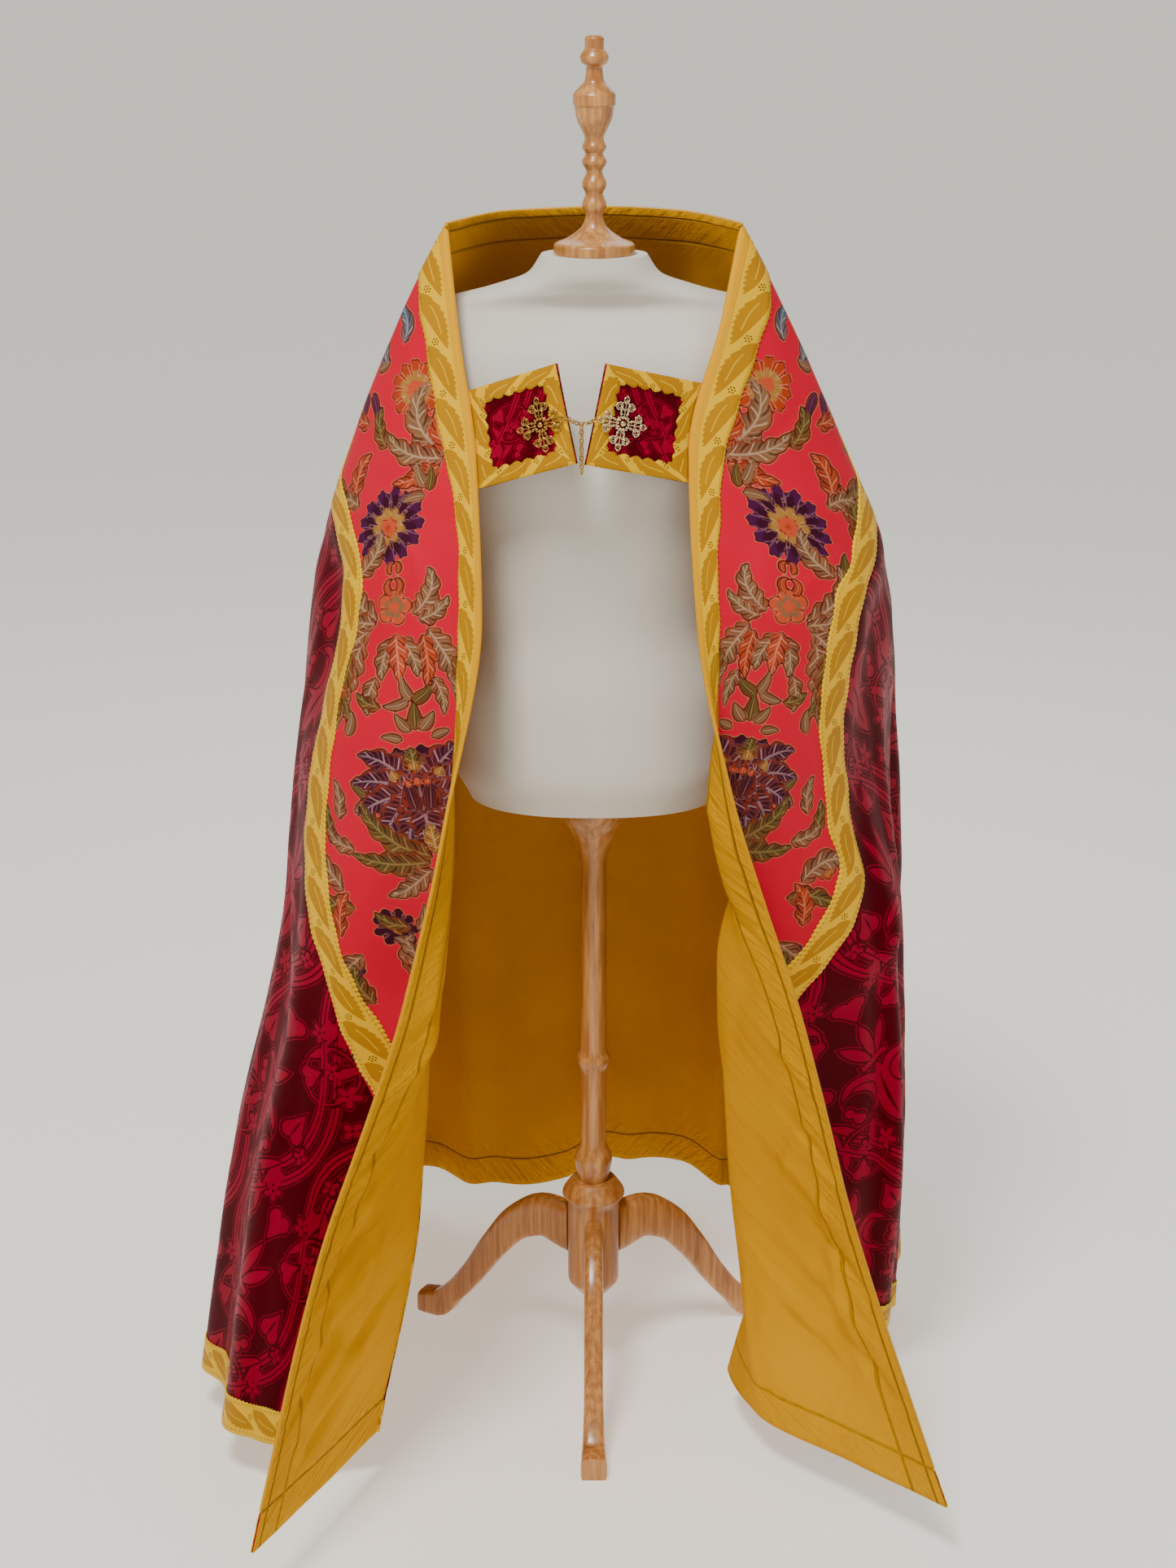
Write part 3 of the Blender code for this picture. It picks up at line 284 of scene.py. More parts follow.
# mesh of a grid of points; outward tells which way its faces look
def gridObject(name, points, uv, finish, outward, extras=None, closed=False):
    n, m = points.shape[:2]
    number = np.arange(n * m).reshape(n, m)
    if closed:
        number = np.concatenate((number, number[:, :1]), axis=1)
    here, right = number[:-1, :-1], number[1:, :-1]
    quads = np.stack((here, right, number[1:, 1:], number[:-1, 1:]), axis=-1).reshape(-1, 4)
    places = points.reshape(-1, 3)
    corner = places[quads]
    faceNormal = np.cross(corner[:, 2] - corner[:, 0], corner[:, 3] - corner[:, 1])
    if (faceNormal * outward.reshape(-1, 3)[quads[:, 0]]).sum() < 0:
        quads = quads[:, ::-1]
    mesh = bpy.data.meshes.new(name)
    mesh.vertices.add(len(places))
    mesh.vertices.foreach_set("co", places.astype(np.float32).ravel())
    mesh.loops.add(quads.size)
    mesh.loops.foreach_set("vertex_index", quads.ravel().astype(np.int32))
    mesh.polygons.add(len(quads))
    mesh.polygons.foreach_set("loop_start", np.arange(0, quads.size, 4, dtype=np.int32))
    mesh.update(calc_edges=True)
    layer = mesh.uv_layers.new(name="cut")
    layer.data.foreach_set("uv", uv.reshape(-1, 2)[quads.ravel()].astype(np.float32).ravel())
    for key, values in (extras or {}).items():
        width = values.shape[-1] if values.ndim > 2 else 1
        kind = {1: "FLOAT", 3: "FLOAT_VECTOR"}[width]
        store = mesh.attributes.new(key, kind, "POINT")
        store.data.foreach_set("value" if width == 1 else "vector", values.astype(np.float32).ravel())
    mesh.shade_smooth()
    mesh.materials.append(finish)
    made = bpy.data.objects.new(name, mesh)
    bpy.context.scene.collection.objects.link(made)
    return made


# a layer over a grid of the cut, its border row turned down to its back so that no edge is open
def layerObject(name, s, t, lift, back, sign, finish, extras=None, faceIn=False, ownUv=None, wrap=None):
    s, t = np.pad(s, 1, mode="edge"), np.pad(t, 1, mode="edge")
    uv = np.stack([np.pad(v, 1, mode="edge") for v in ownUv], -1) if ownUv else np.stack((s, t), -1)
    height = np.full(s.shape, lift)
    height[0], height[-1], height[:, 0], height[:, -1] = back, back, back if wrap is None else wrap, back
    points, normal = clothPoints(s, t, height, sign)
    if extras:
        extras = {key: np.pad(values, [(1, 1), (1, 1)] + [(0, 0)] * (values.ndim - 2), mode="edge")
                  for key, values in extras.items()}
    return gridObject(name, points, uv, finish, -normal if faceIn else normal, extras)


# nodes written as sums: a Term is one socket, and its operators add Math nodes
class Term:
    def __init__(self, tree, socket):
        self.tree, self.socket = tree, socket

    def math(self, kind, other=None):
        node = self.tree.nodes.new("ShaderNodeMath")
        node.operation = kind
        for k, value in enumerate((self, other)):
            if isinstance(value, Term):
                self.tree.links.new(value.socket, node.inputs[k])
            elif value is not None:
                node.inputs[k].default_value = value
        return Term(self.tree, node.outputs[0])

    def __add__(self, other):
        return self.math("ADD", other)

    def __sub__(self, other):
        return self.math("SUBTRACT", other)

    def __rsub__(self, other):
        return (self * -1.0).math("ADD", other)

    def __mul__(self, other):
        return self.math("MULTIPLY", other)

    def __truediv__(self, other):
        return self.math("DIVIDE", other)

    def __abs__(self):
        return self.math("ABSOLUTE")

    def sin(self):
        return self.math("SINE")

    def cos(self):
        return self.math("COSINE")

    def sqrt(self):
        return self.math("SQRT")

    def power(self, n):
        return self.math("POWER", n)

    def fract(self):
        return self.math("FRACT")

    def floor(self):
        return self.math("FLOOR")

    def least(self, other):
        return self.math("MINIMUM", other)

    def most(self, other):
        return self.math("MAXIMUM", other)

    def above(self, other):
        return self.math("GREATER_THAN", other)

    # 0 below low, 1 above high, smooth between (either way round)
    def step(self, low, high):
        node = self.tree.nodes.new("ShaderNodeMapRange")
        node.interpolation_type = "SMOOTHSTEP"
        flip = low > high
        node.inputs["From Min"].default_value = min(low, high)
        node.inputs["From Max"].default_value = max(low, high)
        self.tree.links.new(self.socket, node.inputs["Value"])
        result = Term(self.tree, node.outputs[0])
        return 1.0 - result if flip else result


# square root of x squared plus y squared
def lengthOf(x, y):
    return (x * x + y * y).sqrt()


# distance to a circle's rim, less than 0 inside it
def disc(x, y, cx, cy, radius):
    return lengthOf(x - cx, y - cy) - radius


# lens leaf: two arcs of radius (a^2 + b^2) / 2b, half length a and half width b, turned by degrees
def lens(x, y, cx, cy, a, b, degrees):
    c, s = math.cos(math.radians(degrees)), math.sin(math.radians(degrees))
    px, py = x - cx, y - cy
    u, v = px * c + py * s, abs(py * c - px * s)
    r = (a * a + b * b) / (2 * b)
    return lengthOf(u, v + (r - b)) - r


# flower: radius * (1 - deep + deep |cos(n angle / 2)|)
def blossom(x, y, cx, cy, radius, petals, deep, turn=0.0):
    px, py = x - cx, y - cy
    angle = py.math("ARCTAN2", px)
    wave = abs((angle * (petals / 2) + turn).cos())
    return lengthOf(px, py) - (wave * (deep * radius) + (1 - deep) * radius)


# a group's inputs, as Terms
def inputs(tree, names):
    for name in names:
        tree.interface.new_socket(name, in_out="INPUT", socket_type="NodeSocketFloat")
    source = tree.nodes.new("NodeGroupInput")
    return [Term(tree, source.outputs[name]) for name in names]


# a group's outputs, by name
def outputs(tree, terms):
    for name in terms:
        tree.interface.new_socket(name, in_out="OUTPUT", socket_type="NodeSocketFloat")
    sink = tree.nodes.new("NodeGroupOutput")
    for name, term in terms.items():
        tree.links.new(term.socket, sink.inputs[name])


def groupTree(name):
    return bpy.data.node_groups.new(name, "ShaderNodeTree")


# noise of a scaled place, as a Term between 0 and 1
def noise(tree, vector, scale, detail=3.0, rough=0.5, stretch=None):
    node = tree.nodes.new("ShaderNodeTexNoise")
    node.inputs["Scale"].default_value = scale
    node.inputs["Detail"].default_value = detail
    node.inputs["Roughness"].default_value = rough
    if stretch:
        mapping = tree.nodes.new("ShaderNodeMapping")
        mapping.inputs["Scale"].default_value = stretch
        tree.links.new(vector, mapping.inputs["Vector"])
        vector = mapping.outputs["Vector"]
    tree.links.new(vector, node.inputs["Vector"])
    return Term(tree, node.outputs["Fac"])


# linear colour of a hex code
def colour(hexCode):
    parts = [int(hexCode[k:k + 2], 16) / 255 for k in (0, 2, 4)]
    return tuple(p / 12.92 if p <= 0.04045 else ((p + 0.055) / 1.055)**2.4 for p in parts) + (1.0,)


# mix of two colours (hex codes or sockets) by a Term
def blend(tree, factor, a, b):
    node = tree.nodes.new("ShaderNodeMix")
    node.data_type = "RGBA"
    for value, place in ((a, 6), (b, 7)):
        if isinstance(value, str):
            node.inputs[place].default_value = colour(value)
        else:
            tree.links.new(value, node.inputs[place])
    tree.links.new(factor.socket, node.inputs[0])
    return node.outputs[2]


# a material, its tree and its shader, with the shader's settings by name
def newMaterial(name, roughness, **settings):
    made = bpy.data.materials.new(name)
    made.use_nodes = True
    shader = made.node_tree.nodes["Principled BSDF"]
    shader.inputs["Roughness"].default_value = roughness
    for key, value in settings.items():
        shader.inputs[key.replace("_", " ")].default_value = value
    return made, made.node_tree, shader


# place in the flat cut: the whole of it, then s and t
def cutPlace(tree):
    node = tree.nodes.new("ShaderNodeUVMap")
    node.uv_map = "cut"
    split = tree.nodes.new("ShaderNodeSeparateXYZ")
    tree.links.new(node.outputs["UV"], split.inputs["Vector"])
    return node.outputs["UV"], Term(tree, split.outputs["X"]), Term(tree, split.outputs["Y"])


# a group's outputs for the given inputs
def useGroup(tree, group, **values):
    node = tree.nodes.new("ShaderNodeGroup")
    node.node_tree = group
    for key, value in values.items():
        if isinstance(value, Term):
            tree.links.new(value.socket, node.inputs[key])
        else:
            node.inputs[key].default_value = value
    return {out.name: Term(tree, out) for out in node.outputs}


def addBump(tree, shader, height, distance, strength=1.0):
    node = tree.nodes.new("ShaderNodeBump")
    node.inputs["Distance"].default_value = distance
    node.inputs["Strength"].default_value = strength
    tree.links.new(height.socket, node.inputs["Height"])
    tree.links.new(node.outputs["Normal"], shader.inputs["Normal"])


# woven threads: warp and weft ribs of a given pitch that pass over and under each other
def makeWeave():
    tree = groupTree("weave")
    x, y, pitch = inputs(tree, ("Along", "Across", "Pitch"))
    u, v = x / pitch, y / pitch
    warp, weft = abs((u * math.pi).sin()), abs((v * math.pi).sin())
    over = ((u.floor() + v.floor()) * 0.5).fract().above(0.25)
    height = warp * over + weft * (1.0 - over)
    outputs(tree, {"Height": height})
    return tree


# heart leaf of a given size, its tip turned by degrees (90 is down)
def heartLeaf(x, y, cx, cy, size, degrees):
    c, s = math.cos(math.radians(degrees)), math.sin(math.radians(degrees))
    px, py = x - cx, y - cy
    u, v = px * c - py * s, abs(px * s + py * c)
    lobes = disc(u, v, -0.30 * size, 0.36 * size, 0.42 * size)
    point = (u * 0.52 + v * 0.86 - size * 0.50).most(u * -1.0 - size * 0.25)
    return lobes.least(point)


# damask repeat: fleur-de-lis with a band, heart leaves, ogee trellis and small flowers, 1 inside a motif
def makeDamask():
    tree = groupTree("damask")
    s, t = inputs(tree, ("Along", "Across"))
    width, height = 0.30, 0.41
    total, lines = None, None
    for half in (0.0, 0.5):
        x = ((s / width + half).fract() - 0.5) * width
        y = ((t / height + half).fract() - 0.5) * height
        m = abs(x)
        bud = lens(x, y, 0, 0.058, 0.052, 0.0195, 90)
        petal = disc(m, y, 0.036, 0.036, 0.031).most(disc(m, y, 0.052, 0.046, 0.026) * -1.0).most(0.004 - y)
        curl = disc(m, y, 0.058, 0.058, 0.0085).least(disc(m, y, 0.066, 0.045, 0.0065))
        band = (m - 0.024).most(abs(y + 0.002) - 0.0042)
        tails = lens(x, y, 0, -0.036, 0.032, 0.0075, 90).least(lens(m, y, 0.020, -0.028, 0.026, 0.0075, 122))
        lily = bud.least(petal).least(curl).least(band).least(tails)
        hearts = heartLeaf(m, y, 0.086, -0.004, 0.024, 90).least(heartLeaf(m, y, 0.104, 0.062, 0.020, 250))
        hearts = hearts.least(heartLeaf(x, y, 0.0, -0.100, 0.024, 270))
        hearts = hearts.least(heartLeaf(m, y, 0.058, -0.074, 0.018, 60))
        flowers = None
        for cx, cy, size, count, turn in ((0.034, 0.118, 0.0155, 5, 0.3), (0.072, 0.104, 0.0125, 5, 1.0),
                                          (0.0, 0.150, 0.0120, 4, 0.0), (0.034, -0.128, 0.0130, 5, 0.6),
                                          (0.118, 0.016, 0.0110, 4, 0.8)):
            one = blossom(m, y, cx, cy, size, count, 0.74, turn).most(0.0022 - lengthOf(m - cx, y - cy))
            flowers = one if flowers is None else flowers.least(one)
        wave = m - ((y * (2 * math.pi / height)).cos() * 0.050 + 0.062)
        trellis = abs(wave) - 0.0064
        twigs = lens(m, y, 0.060, -0.150, 0.024, 0.0055, 40).least(lens(m, y, 0.096, -0.112, 0.022, 0.006, 118))
        twigs = twigs.least(lens(m, y, 0.100, 0.098, 0.020, 0.005, 60))
        twigs = twigs.least(lens(m, y, 0.050, 0.086, 0.014, 0.004, 30))
        stems = abs(disc(m, y, 0.070, 0.112, 0.038)) - 0.0012
        both = lily.least(hearts).least(flowers).least(twigs).least(stems)
        both = both.least(trellis.most(both * -1.0 + 0.0045))
        vein = lens(x, y, 0, 0.060, 0.036, 0.0024, 90).least(abs(disc(m, y, 0.038, 0.038, 0.022)) - 0.0010)
        vein = vein.least((abs(wave) - 0.0009).most(0.004 - flowers))
        vein = vein.least(lens(m, y, 0.086, -0.004, 0.012, 0.0016, 90))
        total = both if total is None else total.least(both)
        lines = vein if lines is None else lines.least(vein)
    outline = abs(total - 0.0036) - 0.0007
    inside = total.step(0.0005, -0.0005) * lines.step(-0.0002, 0.0006)
    outputs(tree, {"Mask": inside.most(outline.step(0.0005, -0.0005) * 0.8)})
    return tree


# the galloon's leaf repeat and the pitch of its border loops
trimRepeat, loopPitch = 0.060, 0.0066


# galloon: each repeat has a slanted ochre leaf with a tail, feathered on one side and veined, seven dots
# at its foot, and an open border of small slits on both sides
def makeGalloon():
    tree = groupTree("galloon")
    along, x = inputs(tree, ("Along", "Across"))
    turns = along / trimRepeat
    here = turns.fract()
    leaf, vein = None, None
    for shift in (0.0, 1.0):
        y = here + shift
        grown = ((y - 0.06) / 1.16).most(0.0).least(1.0)
        slant = x - (0.56 - y) * 0.0205 + ((y - 0.3) * 5.2).sin() * 0.0012
        fat = (grown.power(0.62) * math.pi).sin().most(0.0).power(0.85) * 0.0122
        teeth = abs((y * 9.0 + x * 90.0).fract() - 0.5) * 0.0052 * slant.step(0.001, -0.001)
        one = abs(slant) - fat + teeth + y.step(1.17, 1.21)
        leaf = one if leaf is None else leaf.least(one)
        past = y.step(0.30, 0.24) + y.step(0.86, 0.92)
        line = abs(slant + ((y - 0.1) * 6.0).sin() * 0.0015) + past * 0.01
        vein = line if vein is None else vein.least(line)
    leaf = leaf.most(abs(x) - 0.0150)
    lobeY = ((turns + 0.5).fract() - 0.5) * trimRepeat
    lobeX, dotRadius, dotCircle = 0.0040, 0.00105, 0.0034
    dots = disc(x, lobeY, lobeX, 0, dotRadius)
    for k in range(6):
        a = math.pi * k / 3
        dots = dots.least(disc(x, lobeY, lobeX + dotCircle * math.cos(a), dotCircle * math.sin(a), dotRadius))
    lobe = disc(x, lobeY, lobeX, 0.0, 0.0058)
    hole = dots.step(0.0002, -0.0002)
    ground = leaf.step(0.0003, -0.0003) * lobe.step(0.0, 0.0006)
    veined = vein.step(0.0009, 0.0004) * ground
    loop = ((along / loopPitch).fract() - 0.5) * loopPitch
    slit = lengthOf(loop * 0.45, abs(x) - 0.0172).step(0.00110, 0.00060)
    small = ((along / 0.0042).fract() - 0.5) * 0.0042
    inner = lengthOf(small * 0.6, abs(x) - 0.0146).step(0.0006, 0.0003)
    dark = (ground * (1.0 - veined)).most(slit * 0.9).most(inner * 0.6 * (1.0 - ground))
    raised = (1.0 - dark) * 0.7 + veined * 0.2
    loops = abs(x).step(0.0180, 0.0200)
    outputs(tree, {"Dark": dark, "Holes": hole, "Height": raised - hole * 0.5, "Loops": loops})
    return tree


# brocade motifs of one repeat, placed in the cut; heading 0 points away from the front edge, 90 up
brocade = {"repeat": 0.78, "steps": 25, "bloomMargin": 0.012, "sprayMargin": 0.006, "far": 0.05,
           "base": "8E3A22"}
tones = {  # fill, line work
    "taupe": ("866040", "C8A684"), "rust": ("B03A1C", "E08C66"), "olive": ("5C4A20", "A08850"),
    "plum": ("360A22", "A87064"), "violet": ("48103C", "8A5878"), "blue": ("4A6478", "A4B0AC"),
    "gold": ("A87434", "E2BC7C"), "salmon": ("C84C2C", "E89A78"), "grape": ("3E0C2A", "B58C90"),
}
# s, t, heading, length, half width, curl in degrees, lobes, tone
sprays = (
    (0.352, 0.070, 120, 0.055, 0.010, -150, 2, "blue"), (0.372, 0.100, 60, 0.060, 0.011, 110, 2, "blue"),
    (0.398, 0.128, 250, 0.030, 0.006, 40, 0, "violet"), (0.394, 0.140, 290, 0.030, 0.007, -30, 0, "violet"),
    (0.386, 0.150, 330, 0.028, 0.005, 40, 0, "taupe"), (0.372, 0.118, 190, 0.024, 0.005, -60, 0, "taupe"),
    (0.486, 0.034, 40, 0.100, 0.019, 120, 4, "taupe"), (0.492, 0.040, 12, 0.085, 0.016, 60, 4, "taupe"),
    (0.500, 0.044, -18, 0.062, 0.012, 30, 3, "rust"), (0.482, 0.034, 66, 0.058, 0.011, 100, 3, "rust"),
    (0.560, 0.212, 118, 0.128, 0.020, -170, 5, "taupe"), (0.566, 0.206, 100, 0.085, 0.016, -60, 4, "taupe"),
    (0.575, 0.200, 80, 0.060, 0.012, 30, 3, "rust"), (0.548, 0.220, 140, 0.070, 0.012, -80, 3, "olive"),
    (0.520, 0.062, 60, 0.030, 0.007, 40, 0, "taupe"), (0.524, 0.058, 110, 0.026, 0.006, -30, 0, "olive"),
    (0.530, 0.064, 10, 0.028, 0.006, -40, 0, "taupe"), (0.598, 0.178, 50, 0.032, 0.007, 40, 0, "taupe"),
    (0.604, 0.172, 110, 0.030, 0.007, -40, 0, "olive"), (0.616, 0.176, 0, 0.030, 0.007, 40, 2, "taupe"),
    (0.625, 0.170, 60, 0.036, 0.009, 60, 2, "taupe"),
    (0.636, 0.100, 130, 0.022, 0.004, -140, 0, "rust"), (0.636, 0.108, 50, 0.022, 0.004, 140, 0, "rust"),
    (0.612, 0.099, 125, 0.016, 0.003, -150, 0, "rust"), (0.612, 0.107, 55, 0.016, 0.003, 150, 0, "rust"),
    (0.662, 0.130, 35, 0.085, 0.015, 95, 4, "taupe"), (0.668, 0.132, 10, 0.060, 0.012, 60, 3, "taupe"),
    (0.662, 0.080, 145, 0.060, 0.014, -95, 4, "taupe"), (0.670, 0.074, 170, 0.045, 0.011, -60, 3, "taupe"),
    (0.676, 0.142, -25, 0.078, 0.017, -65, 4, "taupe"), (0.690, 0.150, -60, 0.110, 0.019, -18, 5, "taupe"),
    (0.700, 0.166, -70, 0.120, 0.014, 22, 5, "olive"), (0.684, 0.064, 240, 0.085, 0.017, 18, 5, "taupe"),
    (0.690, 0.072, 262, 0.060, 0.012, 30, 3, "rust"),
    (0.690, 0.112, 300, 0.050, 0.012, -35, 3, "taupe"), (0.690, 0.098, 240, 0.050, 0.012, 35, 3, "taupe"),
    (0.686, 0.105, 270, 0.055, 0.013, 0, 3, "salmon"),
    (0.764, 0.094, 60, 0.030, 0.006, 40, 0, "taupe"), (0.768, 0.092, 150, 0.030, 0.007, -20, 0, "olive"),
    (0.766, 0.098, 340, 0.030, 0.006, 40, 0, "taupe"),
    (0.800, 0.094, 95, 0.032, 0.007, 0, 0, "olive"), (0.802, 0.088, 135, 0.026, 0.006, -20, 0, "taupe"),
    (0.802, 0.100, 50, 0.026, 0.006, 20, 0, "taupe"), (0.812, 0.078, 160, 0.024, 0.005, 20, 0, "taupe"),
    (0.812, 0.110, 20, 0.024, 0.005, -20, 0, "taupe"),
    (0.880, 0.158, 30, 0.032, 0.006, 40, 0, "olive"), (0.886, 0.160, -10, 0.028, 0.006, -30, 0, "taupe"),
    (0.842, 0.040, 140, 0.032, 0.006, -40, 0, "olive"), (0.848, 0.044, 175, 0.028, 0.006, 30, 0, "taupe"),
    # palmette: petals, then its cup and seeds on top
    (0.868, 0.106, 52, 0.074, 0.021, -46, 4, "grape"), (0.868, 0.098, 128, 0.074, 0.021, 46, 4, "grape"),
    (0.872, 0.108, 20, 0.074, 0.019, -30, 4, "grape"), (0.872, 0.096, 160, 0.070, 0.019, 30, 4, "grape"),
    (0.878, 0.108, -8, 0.078, 0.020, -24, 4, "grape"), (0.878, 0.096, 188, 0.072, 0.020, 24, 4, "grape"),
    (0.884, 0.107, -38, 0.078, 0.020, -16, 4, "grape"), (0.884, 0.097, 218, 0.076, 0.020, 16, 4, "grape"),
    (0.888, 0.105, -66, 0.074, 0.018, -10, 4, "grape"), (0.888, 0.099, 246, 0.074, 0.018, 10, 4, "grape"),
    (0.886, 0.102, 270, 0.070, 0.019, 0, 4, "grape"), (0.850, 0.102, 90, 0.028, 0.010, 0, 2, "olive"),
    (0.902, 0.102, 90, 0.044, 0.019, 0, 0, "plum"), (0.900, 0.095, 96, 0.036, 0.006, 0, 0, "plum"),
    (0.900, 0.109, 84, 0.036, 0.006, 0, 0, "plum"), (0.850, 0.102, 90, 0.011, 0.006, 0, 0, "gold"),
    (0.860, 0.122, 60, 0.012, 0.006, 0, 0, "gold"), (0.860, 0.082, 120, 0.012, 0.006, 0, 0, "gold"),
    (0.868, 0.102, 90, 0.008, 0.004, 0, 0, "salmon"), (0.869, 0.110, 70, 0.007, 0.0035, 0, 0, "salmon"),
    (0.869, 0.094, 110, 0.007, 0.0035, 0, 0, "salmon"),
    # beyond it, out to where the cloth has slid
    (0.985, 0.240, 60, 0.090, 0.017, -120, 4, "taupe"), (1.010, 0.232, 20, 0.070, 0.014, -60, 3, "olive"),
    (1.040, 0.262, 100, 0.060, 0.012, 60, 3, "rust"), (0.930, 0.235, 80, 0.050, 0.011, 40, 3, "olive"),
    (1.070, 0.245, 330, 0.060, 0.013, 40, 3, "taupe"), (0.900, 0.215, 120, 0.050, 0.011, -60, 3, "taupe"),
    (0.940, 0.205, 20, 0.048, 0.011, 50, 3, "taupe"), (1.130, 0.250, 60, 0.055, 0.012, 70, 3, "olive"),
    (0.745, 0.034, 100, 0.046, 0.011, 60, 3, "olive"), (0.775, 0.028, 80, 0.036, 0.009, -50, 2, "taupe"),
    (0.790, 0.165, 60, 0.036, 0.008, 40, 2, "olive"), (0.800, 0.175, 120, 0.030, 0.007, -40, 0, "taupe"),
    (0.745, 0.176, 20, 0.040, 0.009, 60, 2, "rust"), (1.170, 0.200, 60, 0.060, 0.012, 100, 3, "gold"),
    (1.180, 0.170, 120, 0.050, 0.010, -90, 3, "rust"), (1.200, 0.222, 200, 0.050, 0.010, 60, 2, "blue"),
    (1.165, 0.262, 300, 0.050, 0.012, 40, 3, "olive"), (1.000, 0.030, 60, 0.060, 0.012, 90, 3, "rust"),
    (1.030, 0.040, 20, 0.050, 0.011, 60, 3, "taupe"), (0.440, 0.196, 70, 0.060, 0.012, 90, 3, "olive"),
    (0.450, 0.204, 20, 0.050, 0.011, 60, 3, "taupe"), (0.330, 0.200, 120, 0.060, 0.012, -90, 3, "taupe"),
    (0.325, 0.150, 60, 0.050, 0.011, 90, 3, "rust"), (0.470, 0.150, 300, 0.045, 0.010, 60, 3, "rust"),
    (0.606, 0.152, 150, 0.062, 0.013, -80, 4, "taupe"), (0.508, 0.168, 100, 0.058, 0.013, 70, 3, "rust"),
    (0.520, 0.160, 40, 0.045, 0.010, -60, 3, "taupe"), (0.462, 0.112, 60, 0.050, 0.011, 80, 3, "olive"),
    (0.430, 0.138, 20, 0.040, 0.010, 60, 2, "rust"), (0.735, 0.134, 300, 0.046, 0.010, -40, 3, "taupe"),
    (0.742, 0.064, 250, 0.046, 0.010, 40, 3, "taupe"), (0.770, 0.132, 20, 0.034, 0.008, 50, 2, "olive"),
    (0.960, 0.108, 25, 0.105, 0.018, 65, 5, "olive"), (0.968, 0.112, 0, 0.100, 0.017, 35, 5, "olive"),
    (0.978, 0.112, -30, 0.080, 0.014, 30, 4, "taupe"), (0.960, 0.092, 155, 0.085, 0.018, -65, 5, "olive"),
    (0.968, 0.088, 180, 0.080, 0.017, -35, 5, "olive"), (0.978, 0.088, 210, 0.060, 0.013, -30, 4, "taupe"),
    (0.984, 0.100, 270, 0.050, 0.012, 0, 3, "taupe"), (0.955, 0.100, 90, 0.036, 0.011, 0, 3, "gold"),
    (1.046, 0.182, 20, 0.040, 0.009, 60, 2, "olive"), (1.050, 0.170, 160, 0.045, 0.009, -70, 2, "taupe"),
    (1.090, 0.120, 60, 0.070, 0.013, 110, 3, "rust"), (1.096, 0.112, 120, 0.060, 0.012, -110, 3, "taupe"),
    (1.104, 0.120, 300, 0.040, 0.009, 40, 2, "olive"), (1.100, 0.200, 90, 0.050, 0.010, 60, 3, "taupe"),
)
# s, t, radius, petals, notch depth, turn, tones from the rim to the middle
blooms = (
    (0.408, 0.062, 0.034, 11, 0.22, 0.0, ("rust", "gold", "salmon")),
    (0.556, 0.110, 0.045, 13, 0.24, 0.9, ("violet", "plum", "plum")),
    (0.556, 0.110, 0.036, 13, 0.34, 0.3, ("plum", "violet", "gold")),
    (0.556, 0.110, 0.022, 9, 0.30, 0.1, ("gold", "gold", "rust")),
    (0.558, 0.110, 0.012, 7, 0.25, 0.0, ("salmon", "salmon", "rust")),
    (0.652, 0.105, 0.022, 5, 0.34, 1.57, ("salmon", "taupe", "salmon")),
    (0.655, 0.176, 0.015, 9, 0.40, 0.2, ("violet", "plum", "salmon")),
    (0.872, 0.102, 0.052, 10, 0.16, 0.2, ("plum", "plum", "plum")),
    (1.044, 0.195, 0.026, 9, 0.34, 0.2, ("plum", "plum", "gold")),
    (1.060, 0.090, 0.014, 6, 0.35, 0.0, ("violet", "blue", "gold")),
    (1.088, 0.268, 0.022, 8, 0.30, 0.2, ("violet", "plum", "gold")),
    (0.966, 0.270, 0.014, 7, 0.30, 0.2, ("rust", "gold", "rust")),
    (0.415, 0.215, 0.018, 8, 0.30, 0.5, ("violet", "plum", "gold")),
    (1.128, 0.150, 0.020, 7, 0.30, 0.1, ("rust", "gold", "violet")),
)


